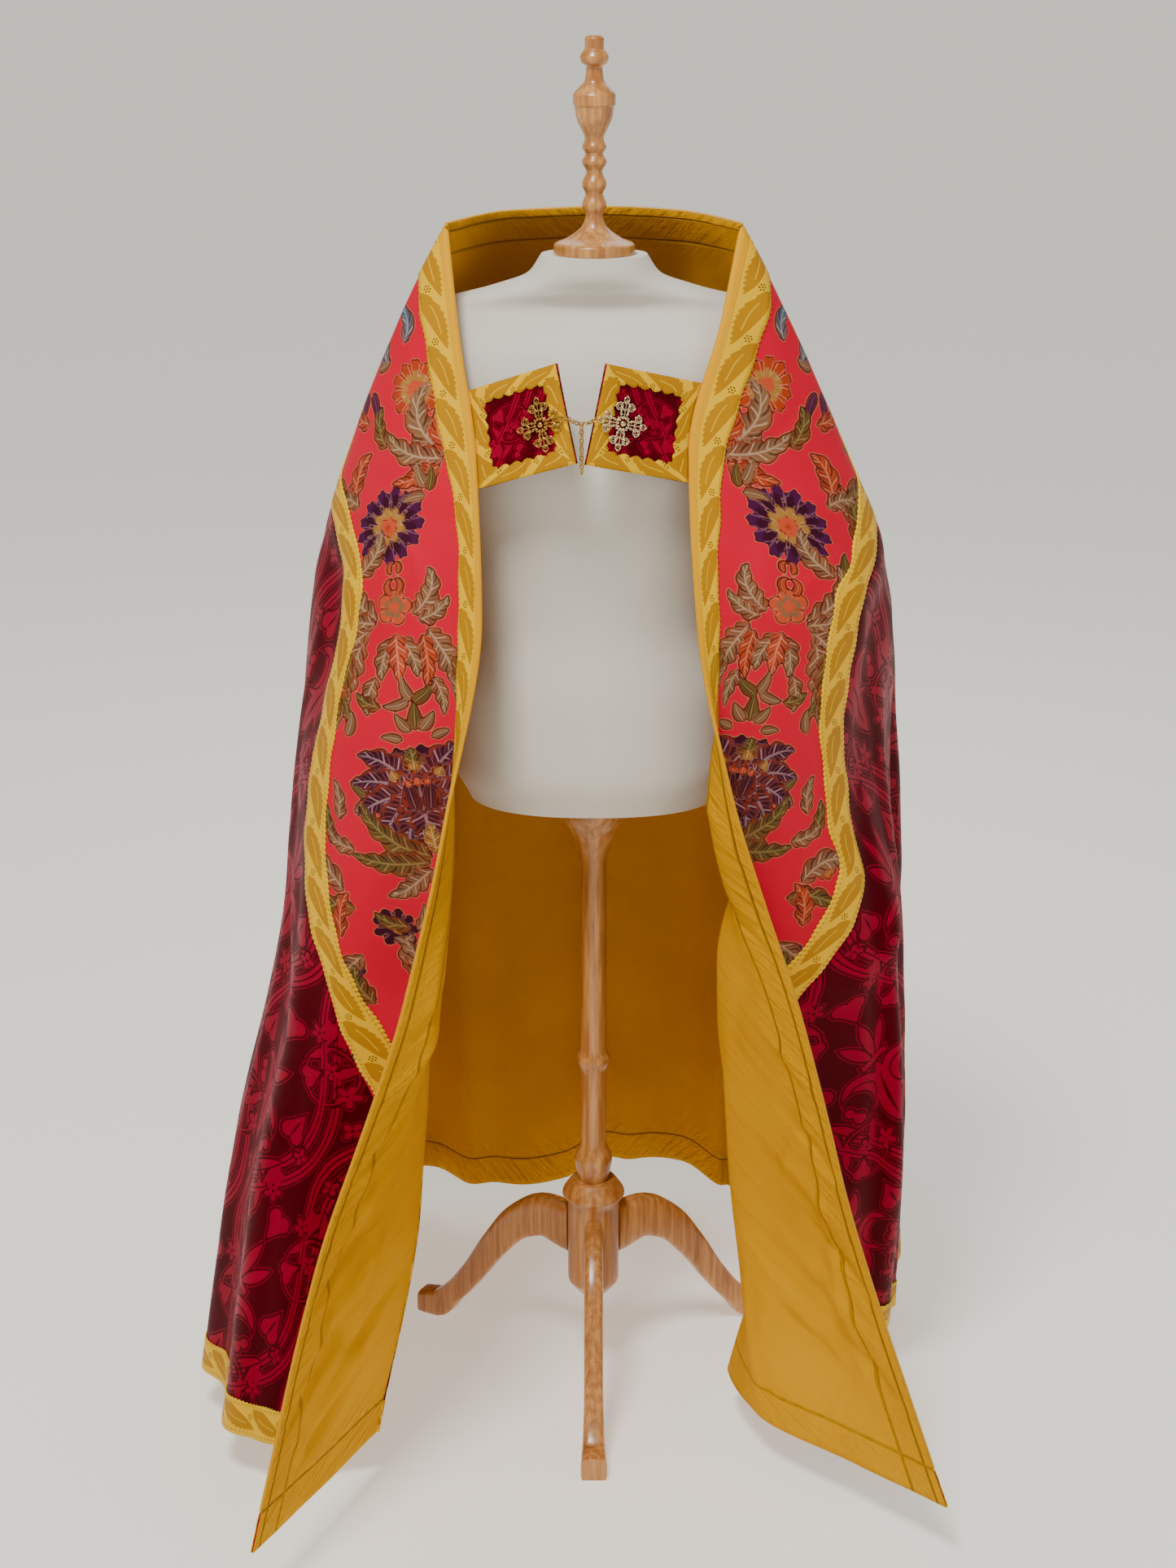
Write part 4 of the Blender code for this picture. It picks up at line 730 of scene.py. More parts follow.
# fields of the brocade over a grid of the cut: distance to the nearest motif, the place inside it
# (u along or outwards, v across from -1 to 1), its tones, and whether it is a bloom
def paintBrocade(s, t):
    sFlat, tFlat = s.ravel(), t.ravel()
    field = {key: np.zeros(sFlat.shape) for key in ("u", "v", "bloom")}
    field |= {key: np.zeros((len(sFlat), 3)) for key in ("fill", "line")}
    field["dist"] = np.full(sFlat.shape, brocade["far"])
    steps, base = brocade["steps"], np.array(colour(brocade["base"])[:3])

    def put(index, d, u, v, isBloom, fill, line):
        better = (d < 0.0004) | (d < field["dist"][index])
        index = index[better]
        field["dist"][index], field["u"][index], field["v"][index] = d[better], u[better], v[better]
        field["bloom"][index], field["fill"][index], field["line"][index] = isBloom, fill[better], line[better]

    def pair(name):
        return [np.array(colour(code)[:3]) for code in tones[name]]

    def nearTo(s0, t0, reach):
        return np.flatnonzero((np.abs(sFlat - s0) < reach) & (np.abs(tFlat - t0) < reach))

    for shift in (-brocade["repeat"], 0.0, brocade["repeat"]):
        for s0, t0, radius, petals, notch, turn, names in blooms:
            near = nearTo(s0 + shift, t0, radius + brocade["bloomMargin"])
            x, y = tFlat[near] - t0, s0 + shift - sFlat[near]
            r, angle = np.hypot(x, y), np.arctan2(y, x)
            wave = np.cos(petals * angle / 2 + turn)
            frill = 0.035 * np.cos(petals * 2.5 * angle) if radius > 0.03 else 0.0
            rim = radius * (1 - notch * (1 - np.abs(wave)**0.8) + frill)
            ring = np.clip(r / rim, 0, 1)[:, None]
            mixed = [np.where(ring > 0.62, outer, np.where(ring > 0.34, middle, heart))
                     for outer, middle, heart in zip(*(pair(name) for name in names))]
            v = np.sign(np.sin(petals * angle / 2 + turn)) * (1 - np.abs(wave))
            put(near, r - rim, r / 0.01, v, 1.0, *mixed)
        for s0, t0, heading, length, halfWidth, curl, lobes, tone in sprays:
            near = nearTo(s0 + shift, t0, length + halfWidth + brocade["sprayMargin"])
            if not len(near):
                continue
            bend = np.radians(heading + curl * np.linspace(0, 1, steps + 1)**1.6)
            step = length / steps
            px = t0 + np.concatenate(([0], np.cumsum(np.cos(bend[:-1]) * step)))
            py = s0 + shift - np.concatenate(([0], np.cumsum(np.sin(bend[:-1]) * step)))
            dx, dy = tFlat[near, None] - px[None, :-1], sFlat[near, None] - py[None, :-1]
            ex, ey = np.diff(px), np.diff(py)
            w = np.clip((dx * ex + dy * ey) / (ex**2 + ey**2), 0, 1)
            gap = np.hypot(dx - w * ex, dy - w * ey)
            best = gap.argmin(1)
            row = np.arange(len(near))
            u = (best + w[row, best]) / steps
            side = np.sign(dx[row, best] * ey[best] - dy[row, best] * ex[best])
            # half width: halfWidth * sin(pi u^0.62)^0.75 * (0.6 + 0.4 |cos(pi (lobes u + side/4))|^0.7)
            swell = np.sin(math.pi * np.clip(u, 0.001, 1)**0.62)**0.75
            teeth = 1.0 if not lobes else 0.60 + 0.40 * np.abs(np.cos(math.pi * (lobes * u + 0.25 * side)))**0.7
            half = halfWidth * swell * teeth + 0.0008
            fill, line = pair(tone)
            part = np.clip(1 - u * 1.6, 0, 1)[:, None] * (0.55 if lobes else 0.2)
            fill = fill * (1 - part) + base * part
            v = side * gap[row, best] / np.maximum(half, 1e-4)
            put(near, gap[row, best] - half, lobes * u + 0.25 * side * (lobes > 0), v, 0.0,
                fill, np.broadcast_to(line, fill.shape))
    motif = np.stack((field["dist"] * 1000, field["u"], np.clip(field["v"], -1.5, 1.5)), -1)
    return {"motif": motif.reshape(*s.shape, 3), "fillTone": field["fill"].reshape(*s.shape, 3),
            "lineTone": field["line"].reshape(*s.shape, 3), "bloom": field["bloom"].reshape(s.shape)}


# groups that the materials share
weaveGroup, damaskGroup, galloonGroup = makeWeave(), makeDamask(), makeGalloon()


# the damask's repeat turned by degrees and scaled, over the weave and a little slack
def damaskMaterial(name, turn, scale=1.0):
    made, tree, shader = newMaterial(name, 0.46, Specular_Tint=(1.0, 0.10, 0.20, 1.0), Specular_IOR_Level=0.12,
                                     Sheen_Weight=0.10, Sheen_Roughness=0.35,
                                     Sheen_Tint=(0.75, 0.02, 0.10, 1.0))
    uv, s, t = cutPlace(tree)
    c, k = math.cos(math.radians(turn)), math.sin(math.radians(turn))
    along, across = (s * c - t * k) * (1 / scale), (s * k + t * c) * (1 / scale)
    motif = useGroup(tree, damaskGroup, Along=along, Across=across)["Mask"]
    weave = useGroup(tree, weaveGroup, Along=along, Across=across, Pitch=0.0008)["Height"]
    cloud = noise(tree, uv, 5.0, 3)
    ground = blend(tree, cloud, "3A0006", "5A000E")
    # the figure is the woven pattern, painted lighter than the ground as a painted satin sheen
    figure = blend(tree, cloud, "84001A", "A40030")
    tree.links.new(blend(tree, motif, ground, figure), shader.inputs["Base Color"])
    tree.links.new((motif * -0.12 + 0.50).socket, shader.inputs["Roughness"])
    slack = noise(tree, uv, 1.0, 2, 0.5, (16.0, 7.0, 1.0))
    addBump(tree, shader, motif * 0.12 + weave * 0.05 + slack * 2.2, 0.0020, 0.6)
    return made


# draws the painted motifs: fill, line work, outline and a pale halo on the red ground
def brocadeMaterial():
    made, tree, shader = newMaterial("red_brocade", 0.48, Specular_Tint=(1.0, 0.35, 0.35, 1.0),
                                     Specular_IOR_Level=0.22)
    uv, s, t = cutPlace(tree)

    def attribute(name):
        node = tree.nodes.new("ShaderNodeAttribute")
        node.attribute_name = name
        return node

    split = tree.nodes.new("ShaderNodeSeparateXYZ")
    tree.links.new(attribute("motif").outputs["Vector"], split.inputs["Vector"])
    wobble = (noise(tree, uv, 420.0, 1) - 0.5) * 0.5
    d, u, v = (Term(tree, split.outputs[axis]) for axis in "XYZ")
    d = d + wobble
    bloom = Term(tree, attribute("bloom").outputs["Fac"])
    inside = d.step(0.15, -0.15)
    halo = d.step(1.9, 1.5) * d.step(0.3, 0.6)
    dark = abs(d + 0.1).step(0.85, 0.50)
    leaf = 1.0 - bloom
    rib = abs(v).step(0.12, 0.04) * leaf
    # one dark line between two lobes and light strokes inside each, all swept back to the rib
    swept = u + 0.6 - abs(v) * 0.6
    lobe = abs(swept.fract() - 0.5)
    cut = lobe.step(0.075, 0.03) * abs(v).step(0.12, 0.30) * leaf
    stroke = lobe.step(0.40, 0.47) * abs(v).step(0.85, 0.65) * leaf
    fine = abs((swept * 3.0).fract() - 0.5).step(0.40, 0.48) * abs(v).step(0.9, 0.5) * leaf
    rays = abs(abs(v) - 0.55).step(0.16, 0.05) * (u * 0.8).step(0.8, 1.6) * bloom
    line = (rib * 0.6).most(stroke * 0.75).most(fine * 0.30).most(rays * 0.6)
    shade = v.step(-0.2, 0.9) * 0.45 * leaf + abs(v).step(0.70, 1.0) * bloom * 0.55
    cloud = noise(tree, uv, 7.0, 3)
    ground = blend(tree, cloud, "C80026", "E40038")
    fill = blend(tree, shade, attribute("fillTone").outputs["Color"], "2A0D10")
    fill = blend(tree, abs(v).step(0.55, 0.95) * leaf * 0.55, fill, "A43C20")
    drawn = blend(tree, line, fill, attribute("lineTone").outputs["Color"])
    drawn = blend(tree, cut * 0.75, drawn, "2E100C")
    body = blend(tree, inside, ground, drawn)
    body = blend(tree, halo * 0.7, body, "B87A50")
    body = blend(tree, dark * 0.85, body, "2A0C0C")
    weave = useGroup(tree, weaveGroup, Along=s, Across=t, Pitch=0.0010)["Height"]
    tree.links.new(body, shader.inputs["Base Color"])
    tree.links.new((inside * 0.14 + 0.42 + weave * 0.06).socket, shader.inputs["Roughness"])
    addBump(tree, shader, inside * 0.5 + line * 0.35 + weave * 0.22, 0.0005, 0.55)
    return made


# middle: where the galloon's middle lies across its uv; boundFrom: where the satin binding beside it ends
def galloonMaterial(name, middle, boundFrom=None):
    made, tree, shader = newMaterial(name, 0.40, Specular_Tint=(1.0, 0.74, 0.22, 1.0), Specular_IOR_Level=0.30)
    uv, along, across = cutPlace(tree)
    x = across - middle
    motif = useGroup(tree, galloonGroup, Along=along, Across=x)
    weave = useGroup(tree, weaveGroup, Along=along, Across=across, Pitch=0.0009)["Height"]
    cloud = noise(tree, uv, 16.0, 2)
    thread = blend(tree, cloud, "FAB800", "FFCC08")
    leaf = blend(tree, cloud, "B87A00", "CE9000")
    body = blend(tree, motif["Dark"], thread, leaf)
    body = blend(tree, motif["Loops"] * 0.6, body, "FFD424")
    # the open dots painted dark brown: painted shade inside the holes
    body = blend(tree, motif["Holes"] * 0.9, body, "5A3400")
    height = motif["Height"] * 0.8 + weave * 0.25
    if boundFrom is not None:
        bound = across.step(boundFrom + 0.0006, boundFrom - 0.0006)
        body = blend(tree, bound, body, "E8A400")
        seam = abs(across - boundFrom).step(0.0008, 0.0002)
        height = height * (1.0 - bound) + bound * (weave * 0.1 + 0.5) - seam * 0.6
    tree.links.new(body, shader.inputs["Base Color"])
    tree.links.new((motif["Dark"] * 0.10 + 0.36).socket, shader.inputs["Roughness"])
    addBump(tree, shader, height, 0.0008, 0.8)
    return made


# plain weave with stitch grooves, puckers that lean away from them, and broad slack over the lapels
def liningMaterial():
    made, tree, shader = newMaterial("mustard_lining", 0.85, Specular_Tint=(1.0, 0.65, 0.10, 1.0),
                                     Specular_IOR_Level=0.10)
    uv, s, t = cutPlace(tree)
    nap = noise(tree, uv, 60.0, 4, 0.6)
    cloud = noise(tree, uv, 3.2, 3)
    body = blend(tree, cloud.step(0.3, 0.7), "DE9A00", "F2AE00")
    weave = useGroup(tree, weaveGroup, Along=s, Across=t, Pitch=0.0007)["Height"]
    # stitch lines run beside the front edge, and as far inside the hem
    away = (abs(s) - neckHalf).most(0.0)
    reach = lengthOf(away, t)
    fromHem = drop - reach
    first, second, hem = abs(t - 0.0115), abs(t - 0.047), abs(fromHem - 0.046)
    groove = first.step(0.0022, 0.0).most(second.step(0.0030, 0.0) * 0.8).most(hem.step(0.0030, 0.0) * 0.8)
    stitches = ((s + fromHem) * 330.0).fract().step(0.55, 0.75)
    pucker = noise(tree, uv, 1.0, 3, 0.6, (34.0, 190.0, 1.0))

    def leaning(x, y, rough):
        place = tree.nodes.new("ShaderNodeCombineXYZ")
        tree.links.new(x.socket, place.inputs["X"])
        tree.links.new(y.socket, place.inputs["Y"])
        return noise(tree, place.outputs["Vector"], 1.0, 2, rough)

    slant = leaning((s + t * 0.75) * 95.0, (t - s * 0.4) * 20.0, 0.5)
    broad = leaning((s + t * 0.8) * 34.0, (t - s * 0.3) * 8.0, 0.55) * t.step(0.36, 0.26) * reach.step(0.2, 0.8)
    nearLine = t.step(0.085, 0.012).most(fromHem.step(0.10, 0.02))
    height = broad * 2.2 + slant * nearLine * 3.6 + pucker * nearLine * 0.8
    height = height - groove * 1.6 + nap * 0.2 + weave * 0.06
    shadeLine = groove * (stitches * 0.25 + 0.30)
    tree.links.new(blend(tree, shadeLine, body, "8E6208"), shader.inputs["Base Color"])
    addBump(tree, shader, height, 0.0034, 1.0)
    return made


# coarse plain weave with slubs
def linenMaterial():
    made, tree, shader = newMaterial("form_linen", 0.88, Sheen_Weight=0.15)
    s, t = cutPlace(tree)[1:]
    place = tree.nodes.new("ShaderNodeTexCoord").outputs["Object"]
    cloud = noise(tree, place, 9.0, 4)
    slub = noise(tree, place, 1.0, 3, 0.6, (60.0, 60.0, 900.0))
    weave = useGroup(tree, weaveGroup, Along=s, Across=t, Pitch=0.0011)["Height"]
    body = blend(tree, cloud * 0.7 + slub * 0.3, "D9D2C2", "EEE9DC")
    tree.links.new(body, shader.inputs["Base Color"])
    addBump(tree, shader, weave * 0.5 + slub * 0.5, 0.0006, 0.5)
    return made


# upright grain, darker bands and pores under varnish
def oakMaterial():
    made, tree, shader = newMaterial("varnished_oak", 0.32, Coat_Weight=0.35, Coat_Roughness=0.18)
    place = tree.nodes.new("ShaderNodeTexCoord").outputs["Object"]
    grain = noise(tree, place, 1.0, 5, 0.62, (140.0, 140.0, 9.0))
    pores = noise(tree, place, 1.0, 2, 0.5, (900.0, 900.0, 38.0))
    bands = noise(tree, place, 1.0, 3, 0.5, (34.0, 34.0, 3.0))
    body = blend(tree, grain.step(0.32, 0.70), "A8682C", "D99A54")
    body = blend(tree, bands.step(0.45, 0.75) * 0.5, body, "8A4E1E")
    body = blend(tree, pores.step(0.62, 0.72) * 0.45, body, "6E3C14")
    tree.links.new(body, shader.inputs["Base Color"])
    tree.links.new((grain * 0.14 + 0.26).socket, shader.inputs["Roughness"])
    addBump(tree, shader, grain * 0.4 - pores.step(0.60, 0.72) * 0.6, 0.0004, 0.5)
    return made


# cast metal between two tones, worn smoother in places
def giltMaterial(name, light, dark, roughness):
    made, tree, shader = newMaterial(name, roughness, Metallic=1.0)
    place = tree.nodes.new("ShaderNodeTexCoord").outputs["Object"]
    cast = noise(tree, place, 260.0, 3)
    worn = noise(tree, place, 900.0, 2)
    tree.links.new(blend(tree, cast, dark, light), shader.inputs["Base Color"])
    tree.links.new((worn * 0.2 + roughness - 0.08).socket, shader.inputs["Roughness"])
    addBump(tree, shader, cast, 0.0005, 0.35)
    return made


damaskCloth = damaskMaterial("crimson_damask", turn=34)
tabDamask = damaskMaterial("crimson_damask_tab", turn=0, scale=0.55)
brocadeCloth = brocadeMaterial()
edgeTrim = galloonMaterial("galloon_edge", 0.0265, 0.0105)
outerTrim = galloonMaterial("galloon_outer", bandWidth - trimWidth / 2)
hemTrim = galloonMaterial("galloon_hem", trimWidth / 2)
tabTrim = galloonMaterial("galloon_tab", 0.0115)
liningCloth, linen, oak = liningMaterial(), linenMaterial(), oakMaterial()
gilt = giltMaterial("gilt_metal", "E8BC62", "8E5E14", 0.26)
giltPale = giltMaterial("gilt_metal_pale", "F3E3BC", "C9AE78", 0.24)
print("materials made")


# cloth pieces: grid points of each layer
clothGrid = {"liningColumns": 260, "liningRows": 180, "shellColumns": 280, "shellRows": 110,
             "bandColumns": 660, "bandRows": 106, "trimColumns": 2000, "trimRows": 8, "hemColumns": 2600}
halfGap = 0.00015
edgeInset = 0.0009  # outer cloth ends short of the edges, which the galloon wraps
wrapBack = liningBack + 0.0001  # lift of the galloon's border where it wraps an edge
borderShift = 0.0004  # how far a layer's border is moved in or out
hemEnd = neckHalf + drop * math.pi / 2


# ties a piece to its node of the part and its body
def tie(piece, node):
    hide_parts(node)
    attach(piece, "root")


# the same for cloth, whose node is named from its kind and side
def tieCloth(piece, kind, side):
    tie(piece, f"{kind}_{side}")


# a point at a distance down the cloth on the ray that meets the hem at a place
def fanPoint(place, reach):
    angle = math.pi / 2 - (place - neckHalf) / drop
    strip = place < neckHalf
    return (np.where(strip, place, neckHalf + reach * np.cos(angle)),
            np.where(strip, reach, reach * np.sin(angle)))


# lining: columns along the hem, closer towards the front edge, and rows down the rays from the neck
def makeLining(side, sign):
    columns = halfGap + (hemEnd - halfGap) * (1 - (1 - np.linspace(0, 1, clothGrid["liningColumns"]))**1.3)
    place, share = np.meshgrid(columns, np.linspace(0, 1, clothGrid["liningRows"])**0.9, indexing="ij")
    s, t = fanPoint(place, share * drop)
    piece = layerObject(f"lining_{side}_cloth", s, np.maximum(t, 0), liningLift, liningBack, sign, liningCloth,
                        faceIn=True)
    tieCloth(piece, "lining", side)


# damask body: ruled from the orphrey's seam to the hem. The seam end of each column lies on the column's own
# ray behind the shoulder, and its angle is squeezed to spread down the front
def makeShell(side, sign):
    lastAngle = math.asin(bandWidth / drop)
    place, share = np.meshgrid(np.linspace(halfGap, hemEnd - drop * lastAngle, clothGrid["shellColumns"]),
                               np.linspace(0, 1, clothGrid["shellRows"]), indexing="ij")
    hemS, hemT = fanPoint(place, np.full_like(place, drop - edgeInset))
    angle = math.pi / 2 - (place - neckHalf) / drop
    seamTurn, folded = 0.74, math.radians(42)
    turnAngle = math.atan(bandWidth / (seamTurn - neckHalf))
    squeezed = folded + (angle - folded) * (folded - turnAngle) / (folded - lastAngle)
    start = np.where(angle > folded, angle, squeezed)
    start = np.clip(start, 0.05, math.pi / 2 - 1e-6)
    seamS = np.where(place < neckHalf, place, neckHalf + bandWidth / np.tan(start))
    s = seamS + (hemS - seamS) * share
    t = bandWidth + borderShift + (hemT - bandWidth - borderShift) * share
    piece = layerObject(f"shell_{side}_cloth", s, t, clothLift, clothBack, sign, damaskCloth)
    tieCloth(piece, "shell", side)


# orphrey: straight rows along the front edge, each as long as the hem's circle lets it be
def makeOrphrey(side, sign):
    u, t = np.meshgrid(np.linspace(0, 1, clothGrid["bandColumns"]),
                       np.linspace(edgeInset, bandWidth, clothGrid["bandRows"]), indexing="ij")
    s = halfGap + u * (neckHalf + np.sqrt((drop - edgeInset)**2 - t**2) - halfGap)
    piece = layerObject(f"orphrey_{side}_cloth", s, t, clothLift, clothBack, sign, brocadeCloth,
                        paintBrocade(s, t + slide(s, t, sign)))
    tieCloth(piece, "orphrey", side)


# scallops taken off a border: 1.8 mm (1 - |sin(pi x / loopPitch)|) + 1 mm (1 + cos(2 pi x / trimRepeat))
def scallop(x):
    loops = 0.0018 * (1 - np.abs(np.sin(math.pi * x / loopPitch)))
    return loops + 0.0010 * (1 + np.cos(2 * math.pi * x / trimRepeat))


# galloon along the front edge, which it wraps, or along the orphrey's outer edge: a strip with scallops
def makeLongTrim(side, sign, which):
    onEdge = which == "edge"
    inner = 0.0 if onEdge else bandWidth - trimWidth
    u, v = np.meshgrid(np.linspace(0, 1, clothGrid["trimColumns"]), np.linspace(0, 1, clothGrid["trimRows"]),
                       indexing="ij")
    rough = halfGap + u * (neckHalf + drop - trimWidth)
    low = inner + (-borderShift if onEdge else scallop(rough + 0.004))
    t = low + (inner + trimWidth - scallop(rough) - low) * v
    s = halfGap + u * (neckHalf + np.sqrt((drop - trimWidth - 0.0003)**2 - t**2) - halfGap)
    piece = layerObject(f"galloon_{which}_{side}_trim", s, t, trimLift, trimBack, sign,
                        edgeTrim if onEdge else outerTrim, wrap=wrapBack if onEdge else None)
    tieCloth(piece, f"galloon_{which}", side)


# galloon along the hem's circle, which it wraps
def makeHemTrim(side, sign):
    place, v = np.meshgrid(np.linspace(halfGap, hemEnd, clothGrid["hemColumns"]),
                           np.linspace(0, 1, clothGrid["trimRows"]), indexing="ij")
    up = v * (trimWidth - scallop(place))
    s, t = fanPoint(place, drop + borderShift - up)
    piece = layerObject(f"galloon_hem_{side}_trim", s, np.maximum(t, 0), trimLift, trimBack, sign, hemTrim,
                        ownUv=(place, up), wrap=wrapBack)
    tieCloth(piece, "galloon_hem", side)


for side, sign in (("left", -1.0), ("right", 1.0)):
    makeLining(side, sign)
    makeShell(side, sign)
    makeOrphrey(side, sign)
    makeLongTrim(side, sign, "edge")
    makeLongTrim(side, sign, "outer")
    makeHemTrim(side, sign)
    print("cloth of the", side, "half made")


# morse: two square tabs, their galloon frames, cross clasps and chain
# edge: how far down the front edge its top and foot are sewn; top, low: the inner side's ends
tabs = {
    "left": {"sign": -1.0, "edge": (0.192, 0.304),
             "top": (-0.042, -0.150, 1.341), "low": (-0.0195, -0.172, 1.2355)},
    "right": {"sign": 1.0, "edge": (0.190, 0.304),
              "top": (0.0135, -0.146, 1.340), "low": (-0.0095, -0.170, 1.2335)},
}
tabForm = {"size": (0.105, 0.115), "thick": 0.004, "crown": 0.004, "seam": 0.0010, "grid": 40}
tabFrame = {"width": 0.0205, "thick": 0.0012, "lift": 0.0015, "sides": (0.118, 0.116), "grid": (140, 7),
            "uvStep": 0.13}
clasp = {"place": (0.745, 0.54), "lift": 0.0022, "reach": 0.031}


# ruled between the front edge and the tab's inner side, plus crown * 16 u(1-u) v(1-v) outwards
def tabPoints(tab, u, v, lift=0.0):
    shape = u.shape
    u, v = u.ravel(), v.ravel()
    sign, (edgeFrom, edgeTo) = tab["sign"], tab["edge"]
    outer = worn(sign * (neckHalf + edgeFrom + (edgeTo - edgeFrom) * v), np.zeros_like(v))
    top, low = np.array(tab["top"]), np.array(tab["low"])
    inner = (1 - v)[:, None] * top + v[:, None] * low
    toInner = inner - outer
    outer = outer + toInner / np.linalg.norm(toInner, axis=1, keepdims=True) * tabForm["seam"]
    normal = np.cross(inner - outer, low - top)
    normal /= np.linalg.norm(normal, axis=1, keepdims=True)
    normal *= np.where(normal[:, 1:2] > 0, -1, 1)
    bow = tabForm["crown"] * 16 * u * (1 - u) * v * (1 - v)
    height = bow + np.broadcast_to(lift, shape).ravel()
    place = (1 - u)[:, None] * outer + u[:, None] * inner + normal * height[:, None]
    return (place + np.array([axisX, axisY, 0])).reshape(*shape, 3), normal.reshape(*shape, 3)


# a solid wall, its thickness behind the face
def thicken(piece, thickness):
    change = piece.modifiers.new("thickness", "SOLIDIFY")
    change.thickness = thickness
    change.offset = -1
    change.use_even_offset = True


# several objects made one
def joinAs(name, pieces):
    bpy.ops.object.select_all(action="DESELECT")
    for piece in pieces:
        piece.select_set(True)
    bpy.context.view_layer.objects.active = pieces[0]
    bpy.ops.object.join()
    pieces[0].name = name
    pieces[0].data.name = name
    return pieces[0]


# inner border of a frame: 3.4 mm (1 - |sin|) waves of 21 mm with 0.8 mm scallops of 5 mm on them
def tabWave(x):
    large, small = (1 - np.abs(np.sin(math.pi * x / wave)) for wave in (0.021, 0.005))
    return 0.0034 * large + 0.0008 * small


# tab of damask: the ruled face with a wall behind it
def makeTab(side, tab):
    u, v = np.meshgrid(*[np.linspace(0, 1, tabForm["grid"])] * 2, indexing="ij")
    points, normal = tabPoints(tab, u, v)
    wide, high = tabForm["size"]
    uv = np.stack((u * wide, v * -high), -1)
    cloth = gridObject(f"morse_tab_{side}_cloth", points, uv, tabDamask, normal)
    thicken(cloth, tabForm["thick"])
    tie(cloth, f"morse_tab_{side}")


# frame of galloon: four strips mitred at the corners, a along each and b inwards, the inner border waved
def makeTabFrame(side, tab):
    a, b = np.meshgrid(*(np.linspace(0, 1, count) for count in tabFrame["grid"]), indexing="ij")
    corners = np.array([(0.0, 0.0), (1.0, 0.0), (1.0, 1.0), (0.0, 1.0)])
    inwards = np.array([(0, 1), (-1, 0), (0, -1), (1, 0)])
    strips = []
    for k in range(4):
        length, other = tabFrame["sides"] if k % 2 == 0 else tabFrame["sides"][::-1]
        inset = b * (tabFrame["width"] - tabWave(a * length) * np.minimum(1, 10 * a * (1 - a)))
        along = inset / length + a * (1 - 2 * inset / length)
        run = corners[(k + 1) % 4] - corners[k]
        u, v = (corners[k][:, None, None] + run[:, None, None] * along
                + inwards[k][:, None, None] * inset / other)
        points, normal = tabPoints(tab, u, v, tabFrame["lift"] + 0.0004 * np.sin(math.pi * b))
        uv = np.stack((a * length + k * tabFrame["uvStep"], inset), -1)
        strips.append(gridObject("strip", points, uv, tabTrim, normal))
    piece = joinAs(f"morse_galloon_{side}_trim", strips)
    thicken(piece, tabFrame["thick"])
    tie(piece, f"morse_galloon_{side}")


# stacks closed patches (rings by points) into one mesh
def patchesObject(name, patches, finish):
    points, quads, count = [], [], 0
    for patch in patches:
        n, m = patch.shape[:2]
        number = count + np.arange(n * m).reshape(n, m)
        number = np.concatenate((number, number[:, :1]), axis=1)
        here, after = number[:-1], number[1:]
        quads.append(np.stack((here[:, :-1], here[:, 1:], after[:, 1:], after[:, :-1]), -1).reshape(-1, 4))
        points.append(patch.reshape(-1, 3))
        count += n * m
    mesh = bpy.data.meshes.new(name)
    mesh.from_pydata(np.concatenate(points).tolist(), [], np.concatenate(quads).tolist())
    mesh.shade_smooth()
    mesh.materials.append(finish)
    made = bpy.data.objects.new(name, mesh)
    bpy.context.scene.collection.objects.link(made)
    return made


# circles about a path's points: point + size (across cos a + up sin a), both square to the way ahead
def tube(path, ahead, size, sides):
    ahead = ahead / np.linalg.norm(ahead, axis=1, keepdims=True)
    across = np.cross(ahead, np.array([0.13, 0.31, 0.94]))
    across /= np.maximum(np.linalg.norm(across, axis=1, keepdims=True), 1e-9)
    up = np.cross(across, ahead)
    a = np.linspace(0, 2 * math.pi, sides, endpoint=False)[None, :, None]
    return path[:, None] + size * (np.cos(a) * across[:, None] + np.sin(a) * up[:, None])


# round bar along a path, pinched shut at its two ends
def bar(path, radius):
    ahead = np.gradient(path, axis=0)
    path, ahead = (np.concatenate((v[:1], v, v[-1:])) for v in (path, ahead))
    size = np.full((len(path), 1, 1), radius)
    size[[0, -1]] = 0.0
    return tube(path, ahead, size, 8)


# closed ring of wire: a bar whose ends meet
def ring(path, radius, sides=8):
    loop = tube(path, np.roll(path, -1, 0) - np.roll(path, 1, 0), radius, sides)
    return np.concatenate((loop, loop[:1]))


# ball: centre + radius (cos low cos a, cos low sin a, sin low)
def bead(centre, radius):
    low = np.linspace(-math.pi / 2, math.pi / 2, 9)
    a = np.linspace(0, 2 * math.pi, 12, endpoint=False)
    unit = np.stack((np.cos(low)[:, None] * np.cos(a), np.cos(low)[:, None] * np.sin(a),
                     np.broadcast_to(np.sin(low)[:, None], (9, 12))), -1)
    return np.asarray(centre) + radius * unit


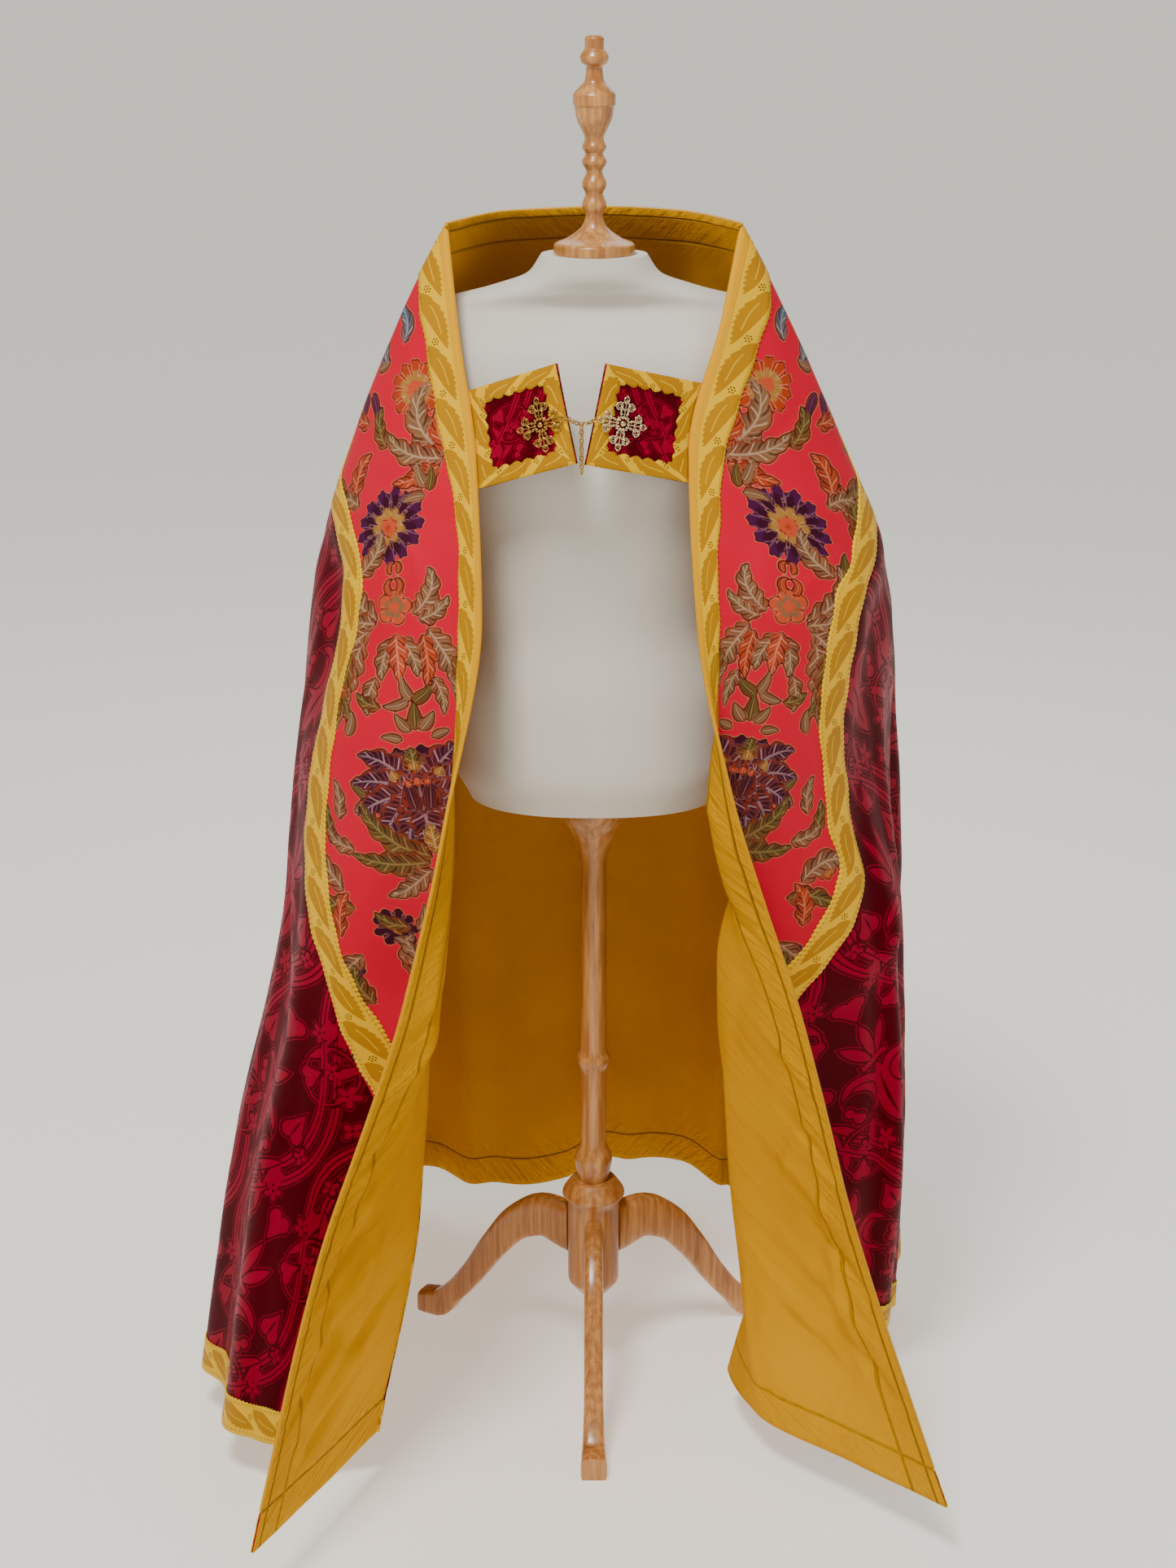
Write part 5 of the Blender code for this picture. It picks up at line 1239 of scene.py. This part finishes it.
# filigree cross: the flat drawing (x inwards, y up, z off the tab, in mm) of one arm turned four times, with
# a heart, side lobes, scrolls, webs and beads about a stem, ending in a small ring
def crossPatches():
    a = np.linspace(0, 2 * math.pi, 40, endpoint=False)
    coarse = a[::2]
    b = np.linspace(0, 1, 18)

    def line(x, y, z):
        return np.stack(np.broadcast_arrays(x, y, z), -1)

    def oval(turn, x, y, halfX, halfY, z, way=1):
        return line(x + halfX * np.cos(turn), way * (y + halfY * np.sin(turn)), z)

    def beadRound(degrees, out, z, radius):
        turn = math.radians(degrees)
        return bead((out * math.cos(turn), out * math.sin(turn), z), radius)

    heartX = 19.3 + 5.6 * (13 * np.cos(a) - 5 * np.cos(2 * a) - 2 * np.cos(3 * a)) / 17
    arm = [ring(line(heartX, 5.6 * 16 * np.sin(a)**3 / 17, 1.0), 0.75)]
    for way in (-1, 1):
        arm.append(ring(oval(a, 18.6, 7.4, 3.9, 3.7, 1.0, way), 0.80))
        arm.append(ring(oval(coarse, 18.6, 7.4, 1.9, 1.8, 1.2, way), 0.5, 6))
        arm.append(bar(oval(4.2 * b, 11.2, 3.0, 3.6 - 2.8 * b, 2.4 - 1.8 * b, 1.0, way), 0.8))
        arm.append(bar(line(6.5 + 9 * b, way * (3.6 + 1.6 * b - 0.8 * np.sin(math.pi * b)), 0.8), 0.85))
        arm.append(bead((18.2, way * 11.9, 1.2), 1.15))
        arm.append(bead((22.8, way * 7.0, 1.2), 0.9))
    arm.append(bar(line(5 + 21.5 * b, 0.0, 1.3), 0.7))
    arm.append(ring(oval(coarse, 26.2, 0.0, 3.0, 3.0, 1.0), 0.75))
    arm.append(bead((29.8, 0, 1.2), 1.2))
    patches = []
    for degrees in (0, 90, 180, 270):
        c, s = math.cos(math.radians(degrees)), math.sin(math.radians(degrees))
        turned = np.array([[c, -s, 0], [s, c, 0], [0, 0, 1]])
        patches += [patch @ turned.T for patch in arm]
        patches.append(beadRound(degrees + 45, 8.8, 1.1, 1.0))
    patches += [beadRound(degrees, 6.2, 2.2, 1.5) for degrees in range(0, 360, 36)]
    patches.append(bead((0, 0, 2.6), 3.4) * np.array([1, 1, 0.8]))
    patches.append(ring(oval(a, 0.0, 0.0, 7.6, 7.6, 1.4), 0.8))
    return patches


# bends a flat drawing in metres onto the tab's crowned face: x and y over the tab's sizes give u and v
def onTab(tab, patch):
    sizeU = np.linalg.norm(tabPoints(tab, np.array([1.0]), np.array([0.5]))[0]
                           - tabPoints(tab, np.array([0.0]), np.array([0.5]))[0])
    sizeV = math.dist(tab["top"], tab["low"])
    u = clasp["place"][0] + patch[..., 0] / sizeU
    v = clasp["place"][1] - patch[..., 1] / sizeV
    return tabPoints(tab, u, v, patch[..., 2] + clasp["lift"])[0]


def makeClasp(side, tab, finish):
    patches = [onTab(tab, patch * 0.001) for patch in crossPatches()]
    tie(patchesObject(f"clasp_{side}_filigree", patches, finish), f"clasp_{side}")


chain = {"long": 0.0062, "wide": 0.0042, "wire": 0.00085, "links": 7, "spareLinks": 11,
         "sag": (0, -0.002, -0.006), "spareRun": (0, -0.003, -0.052)}


# oval links along a path, each turned a quarter from the last:
# centre + long/2 cos a * forward + wide/2 sin a * aside
def linkPatches(path, count):
    steps = np.concatenate(([0], np.cumsum(np.linalg.norm(np.diff(path, axis=0), axis=1))))
    at = (np.arange(count) + 0.5) / count * steps[-1]
    centres = np.stack([np.interp(at, steps, path[:, k]) for k in range(3)], -1)
    ahead = np.stack([np.interp(at + 1e-4, steps, path[:, k]) - np.interp(at - 1e-4, steps, path[:, k])
                      for k in range(3)], -1)
    a = np.linspace(0, 2 * math.pi, 20, endpoint=False)
    links = []
    for k, (centre, forward) in enumerate(zip(centres, ahead)):
        forward = forward / np.linalg.norm(forward)
        one = np.cross(forward, (0, 1, 0.05))
        one /= np.linalg.norm(one)
        other = np.cross(forward, one)
        turn = math.radians(35 if k % 2 else 125)
        aside = one * math.cos(turn) + other * math.sin(turn)
        oval = (centre + chain["long"] / 2 * np.cos(a)[:, None] * forward
                + chain["wide"] / 2 * np.sin(a)[:, None] * aside)
        links.append(ring(oval, chain["wire"], 6))
    return links


# the chain sags from clasp to clasp by 4 u(1-u), and its spare end hangs from its middle
def makeChain():
    ends = [onTab(tab, np.array([[clasp["reach"] + 0.0012, 0.0, 0.002]]))[0] for tab in tabs.values()]
    u = np.linspace(0, 1, 17)[:, None]
    path = ends[0] * (1 - u) + ends[1] * u + np.array(chain["sag"]) * 4 * u * (1 - u)
    piece = patchesObject("clasp_chain_links", linkPatches(path, chain["links"]), gilt)
    tie(piece, "clasp_chain")
    hanging = path[8] + np.array([0, 0, -0.0019]) + np.array(chain["spareRun"]) * u
    piece = patchesObject("clasp_chain_end_links", linkPatches(hanging, chain["spareLinks"]), gilt)
    tie(piece, "clasp_chain_end")


for side, tab in tabs.items():
    makeTab(side, tab)
    makeTabFrame(side, tab)
    makeClasp(side, tab, gilt if side == "left" else giltPale)
makeChain()
print("morse made")


# dress form and stand
torsoRows = (  # height, half width, half depth, forward
    (0.800, 0.150, 0.105, 0.000), (0.850, 0.170, 0.118, 0.000), (0.930, 0.168, 0.112, 0.000),
    (1.020, 0.142, 0.094, 0.000), (1.110, 0.146, 0.100, -0.003), (1.200, 0.166, 0.108, -0.004),
    (1.275, 0.180, 0.096, 0.000), (1.330, 0.196, 0.074, 0.006), (1.362, 0.2119, 0.054, 0.010),
    (1.384, 0.188, 0.046, 0.012), (1.402, 0.120, 0.054, 0.010), (1.418, 0.076, 0.056, 0.004),
    (1.440, 0.060, 0.052, 0.000),
)
neckRows = (  # height, radius
    (1.4403, 0.046), (1.450, 0.046), (1.458, 0.030), (1.472, 0.013), (1.482, 0.010), (1.494, 0.014),
    (1.506, 0.010), (1.517, 0.014), (1.530, 0.009), (1.541, 0.014), (1.549, 0.010), (1.557, 0.0135),
    (1.566, 0.0105), (1.588, 0.020), (1.601, 0.0222), (1.603, 0.0238), (1.612, 0.0238), (1.621, 0.017),
    (1.629, 0.0105), (1.642, 0.0090), (1.647, 0.0140), (1.653, 0.0160), (1.659, 0.0130), (1.663, 0.0105),
    (1.672, 0.0108), (1.676, 0.0080),
)
poleRows = (  # height, radius
    (0.2703, 0.019), (0.300, 0.024), (0.325, 0.0165), (0.420, 0.016), (0.440, 0.021), (0.455, 0.0165),
    (0.700, 0.0155), (0.730, 0.022), (0.750, 0.030), (0.775, 0.045), (0.7997, 0.050),
)
hubRows = (  # height, radius
    (0.100, 0.012), (0.116, 0.026), (0.130, 0.033), (0.235, 0.033), (0.250, 0.040), (0.262, 0.034),
    (0.270, 0.028),
)
legRows = (  # out, height, half thick, half wide
    (0.0333, 0.190, 0.034, 0.012), (0.070, 0.196, 0.030, 0.012), (0.110, 0.178, 0.024, 0.012),
    (0.150, 0.132, 0.019, 0.012), (0.185, 0.080, 0.016, 0.012), (0.215, 0.042, 0.015, 0.013),
    (0.243, 0.016, 0.019, 0.015), (0.268, 0.014, 0.016, 0.016),
)
legAngles = (150, 270, 30)
rowSteps = 6  # steps between two rows of a table


# rows of a table, sampled finely by the damped cubic over the row number
def sampled(rows):
    rows = np.array(rows, float)
    at = np.linspace(0, len(rows) - 1, (len(rows) - 1) * rowSteps + 1)
    return curveThrough(np.arange(len(rows), dtype=float), rows[None], at)


# loft of rings about the axis: x = hw sgn(cos) |cos|^e, y = forward + hd sgn(sin) |sin|^e; ends pinched shut
def loftObject(name, heights, halfWidth, halfDepth, forward, power, sides, finish):
    a = np.linspace(0, 2 * math.pi, sides, endpoint=False)
    heights, halfWidth, halfDepth, forward = (np.concatenate((v[:1], v, v[-1:]))
                                              for v in (heights, halfWidth, halfDepth, forward))
    halfWidth[[0, -1]], halfDepth[[0, -1]] = 1e-5, 1e-5
    c, s = np.cos(a), np.sin(a)
    x = halfWidth[:, None] * np.sign(c) * np.abs(c)**power
    y = forward[:, None] + halfDepth[:, None] * np.sign(s) * np.abs(s)**power
    points = np.stack((x + axisX, y + axisY, np.broadcast_to(heights[:, None], x.shape)), -1)
    outward = np.stack((x, y, np.zeros_like(x)), -1)
    uv = np.stack((np.broadcast_to(a * 0.15, x.shape), points[..., 2]), -1)
    made = gridObject(name, points, uv, finish, outward, closed=True)
    made.data.set_sharp_from_angle(angle=math.radians(50))
    return made


# turned wood: a loft of circles
def makeTurned(node, rows):
    heights, radii = sampled(rows).T
    piece = loftObject(f"{node}_wood", heights, radii, radii, np.zeros(len(radii)), 1.0, 48, oak)
    tie(piece, node)


def makeTorso():
    piece = loftObject("form_torso_cover", *sampled(torsoRows).T, 0.85, 96, linen)
    tie(piece, "form_torso")


# leg: rounded blocks, superellipses of power 0.45, carried along a bent path that runs out from the hub
def makeLeg(number, degrees):
    table = sampled(legRows)
    run = np.gradient(table[:, :2], axis=0)
    run[[0, -1]] = (1, 0)
    run /= np.linalg.norm(run, axis=1, keepdims=True)
    a = np.linspace(0, 2 * math.pi, 20, endpoint=False) + math.pi / 20
    wide, tall = (np.sign(v) * np.abs(v)**0.45 for v in (np.cos(a), np.sin(a)))
    out = table[:, :1] - run[:, 1:] * table[:, 2:3] * tall
    height = np.maximum(table[:, 1:2] + run[:, :1] * table[:, 2:3] * tall, 0.0)
    aside = table[:, 3:4] * wide
    r = math.radians(degrees)
    x = out * math.cos(r) - aside * math.sin(r) + axisX
    y = out * math.sin(r) + aside * math.cos(r) + axisY
    rings = np.stack((x, y, height), -1)
    ends = rings.mean(1, keepdims=True)
    first, last = (np.broadcast_to(end, rings[:1].shape) for end in (ends[:1], ends[-1:]))
    piece = patchesObject(f"tripod_leg_{number}_wood", [np.concatenate((first, rings, last))], oak)
    piece.data.set_sharp_from_angle(angle=math.radians(45))
    tie(piece, f"tripod_leg_{number}")


makeTorso()
for node, rows in (("neck_post", neckRows), ("stand_pole", poleRows), ("tripod_hub", hubRows)):
    makeTurned(node, rows)
for number, degrees in enumerate(legAngles, 1):
    makeLeg(number, degrees)
print("stand made")

# floor, light and camera; onCloth is the surround's strength and toCamera what the camera sees above it
studio = {
    "floorHalf": 400.0, "floor": "F0EDE4", "floorGlow": "F6F2E6", "glow": 0.60,
    "surround": "F6F4EE", "onCloth": 0.33, "toCamera": 0.36,
}
lights = {  # place, aim, size, watts
    "key": ((-0.7, -1.7, 4.2), (0, -0.1, 0.8), (0.9, 0.9), 128),
    "fill": ((2.4, -2.8, 2.2), (0, 0, 0.9), (2.0, 2.4), 12),
    "back": ((0.4, 2.6, 3.2), (0, 0, 1.0), (2.5, 2.0), 26),
}
# the photo's camera: focal length and picture height in its pixels
view = {"place": (axisX - 0.007, axisY - 2.80, 1.78), "down": 19.18, "focal": 3000, "tall": 1927, "sensor": 36}


def makeFloor():
    half = studio["floorHalf"]
    mesh = bpy.data.meshes.new("floor")
    mesh.from_pydata([(-half, -half, 0), (half, -half, 0), (half, half, 0), (-half, half, 0)], [],
                     [(0, 1, 2, 3)])
    base, glow = colour(studio["floor"]), colour(studio["floorGlow"])
    mesh.materials.append(newMaterial("pale_floor", 0.9, Specular_IOR_Level=0.1, Base_Color=base,
                                      Emission_Color=glow, Emission_Strength=studio["glow"])[0])
    floor = bpy.data.objects.new("floor", mesh)
    bpy.context.scene.collection.objects.link(floor)


# area light at a place, aimed at a point
def addLight(name, place, target, size, watts):
    data = bpy.data.lights.new(name, "AREA")
    data.shape, data.energy = "RECTANGLE", watts
    data.size, data.size_y = size
    lamp = bpy.data.objects.new(name, data)
    lamp.location = place
    lamp.rotation_euler = (Vector(target) - Vector(place)).to_track_quat("-Z", "Y").to_euler()
    bpy.context.scene.collection.objects.link(lamp)


# the camera sees the surround as pale as the floor, while the cloth gets less light from it
def makeSurround():
    world = bpy.data.worlds.new("studio")
    world.use_nodes = True
    tree = world.node_tree
    sky = tree.nodes["Background"]
    sky.inputs["Color"].default_value = colour(studio["surround"])
    seen = Term(tree, tree.nodes.new("ShaderNodeLightPath").outputs["Is Camera Ray"])
    tree.links.new((seen * studio["toCamera"] + studio["onCloth"]).socket, sky.inputs["Strength"])
    bpy.context.scene.world = world


def addCamera():
    camera = bpy.data.objects.new("camera", bpy.data.cameras.new("camera"))
    camera.location = view["place"]
    camera.rotation_euler = (math.radians(90 - view["down"]), 0, 0)
    camera.data.lens = view["focal"] / view["tall"] * view["sensor"]
    camera.data.clip_end = 100
    bpy.context.scene.collection.objects.link(camera)
    bpy.context.scene.camera = camera


makeFloor()
makeSurround()
for name, settings in lights.items():
    addLight(name, *settings)
addCamera()
print("floor, light and camera made")
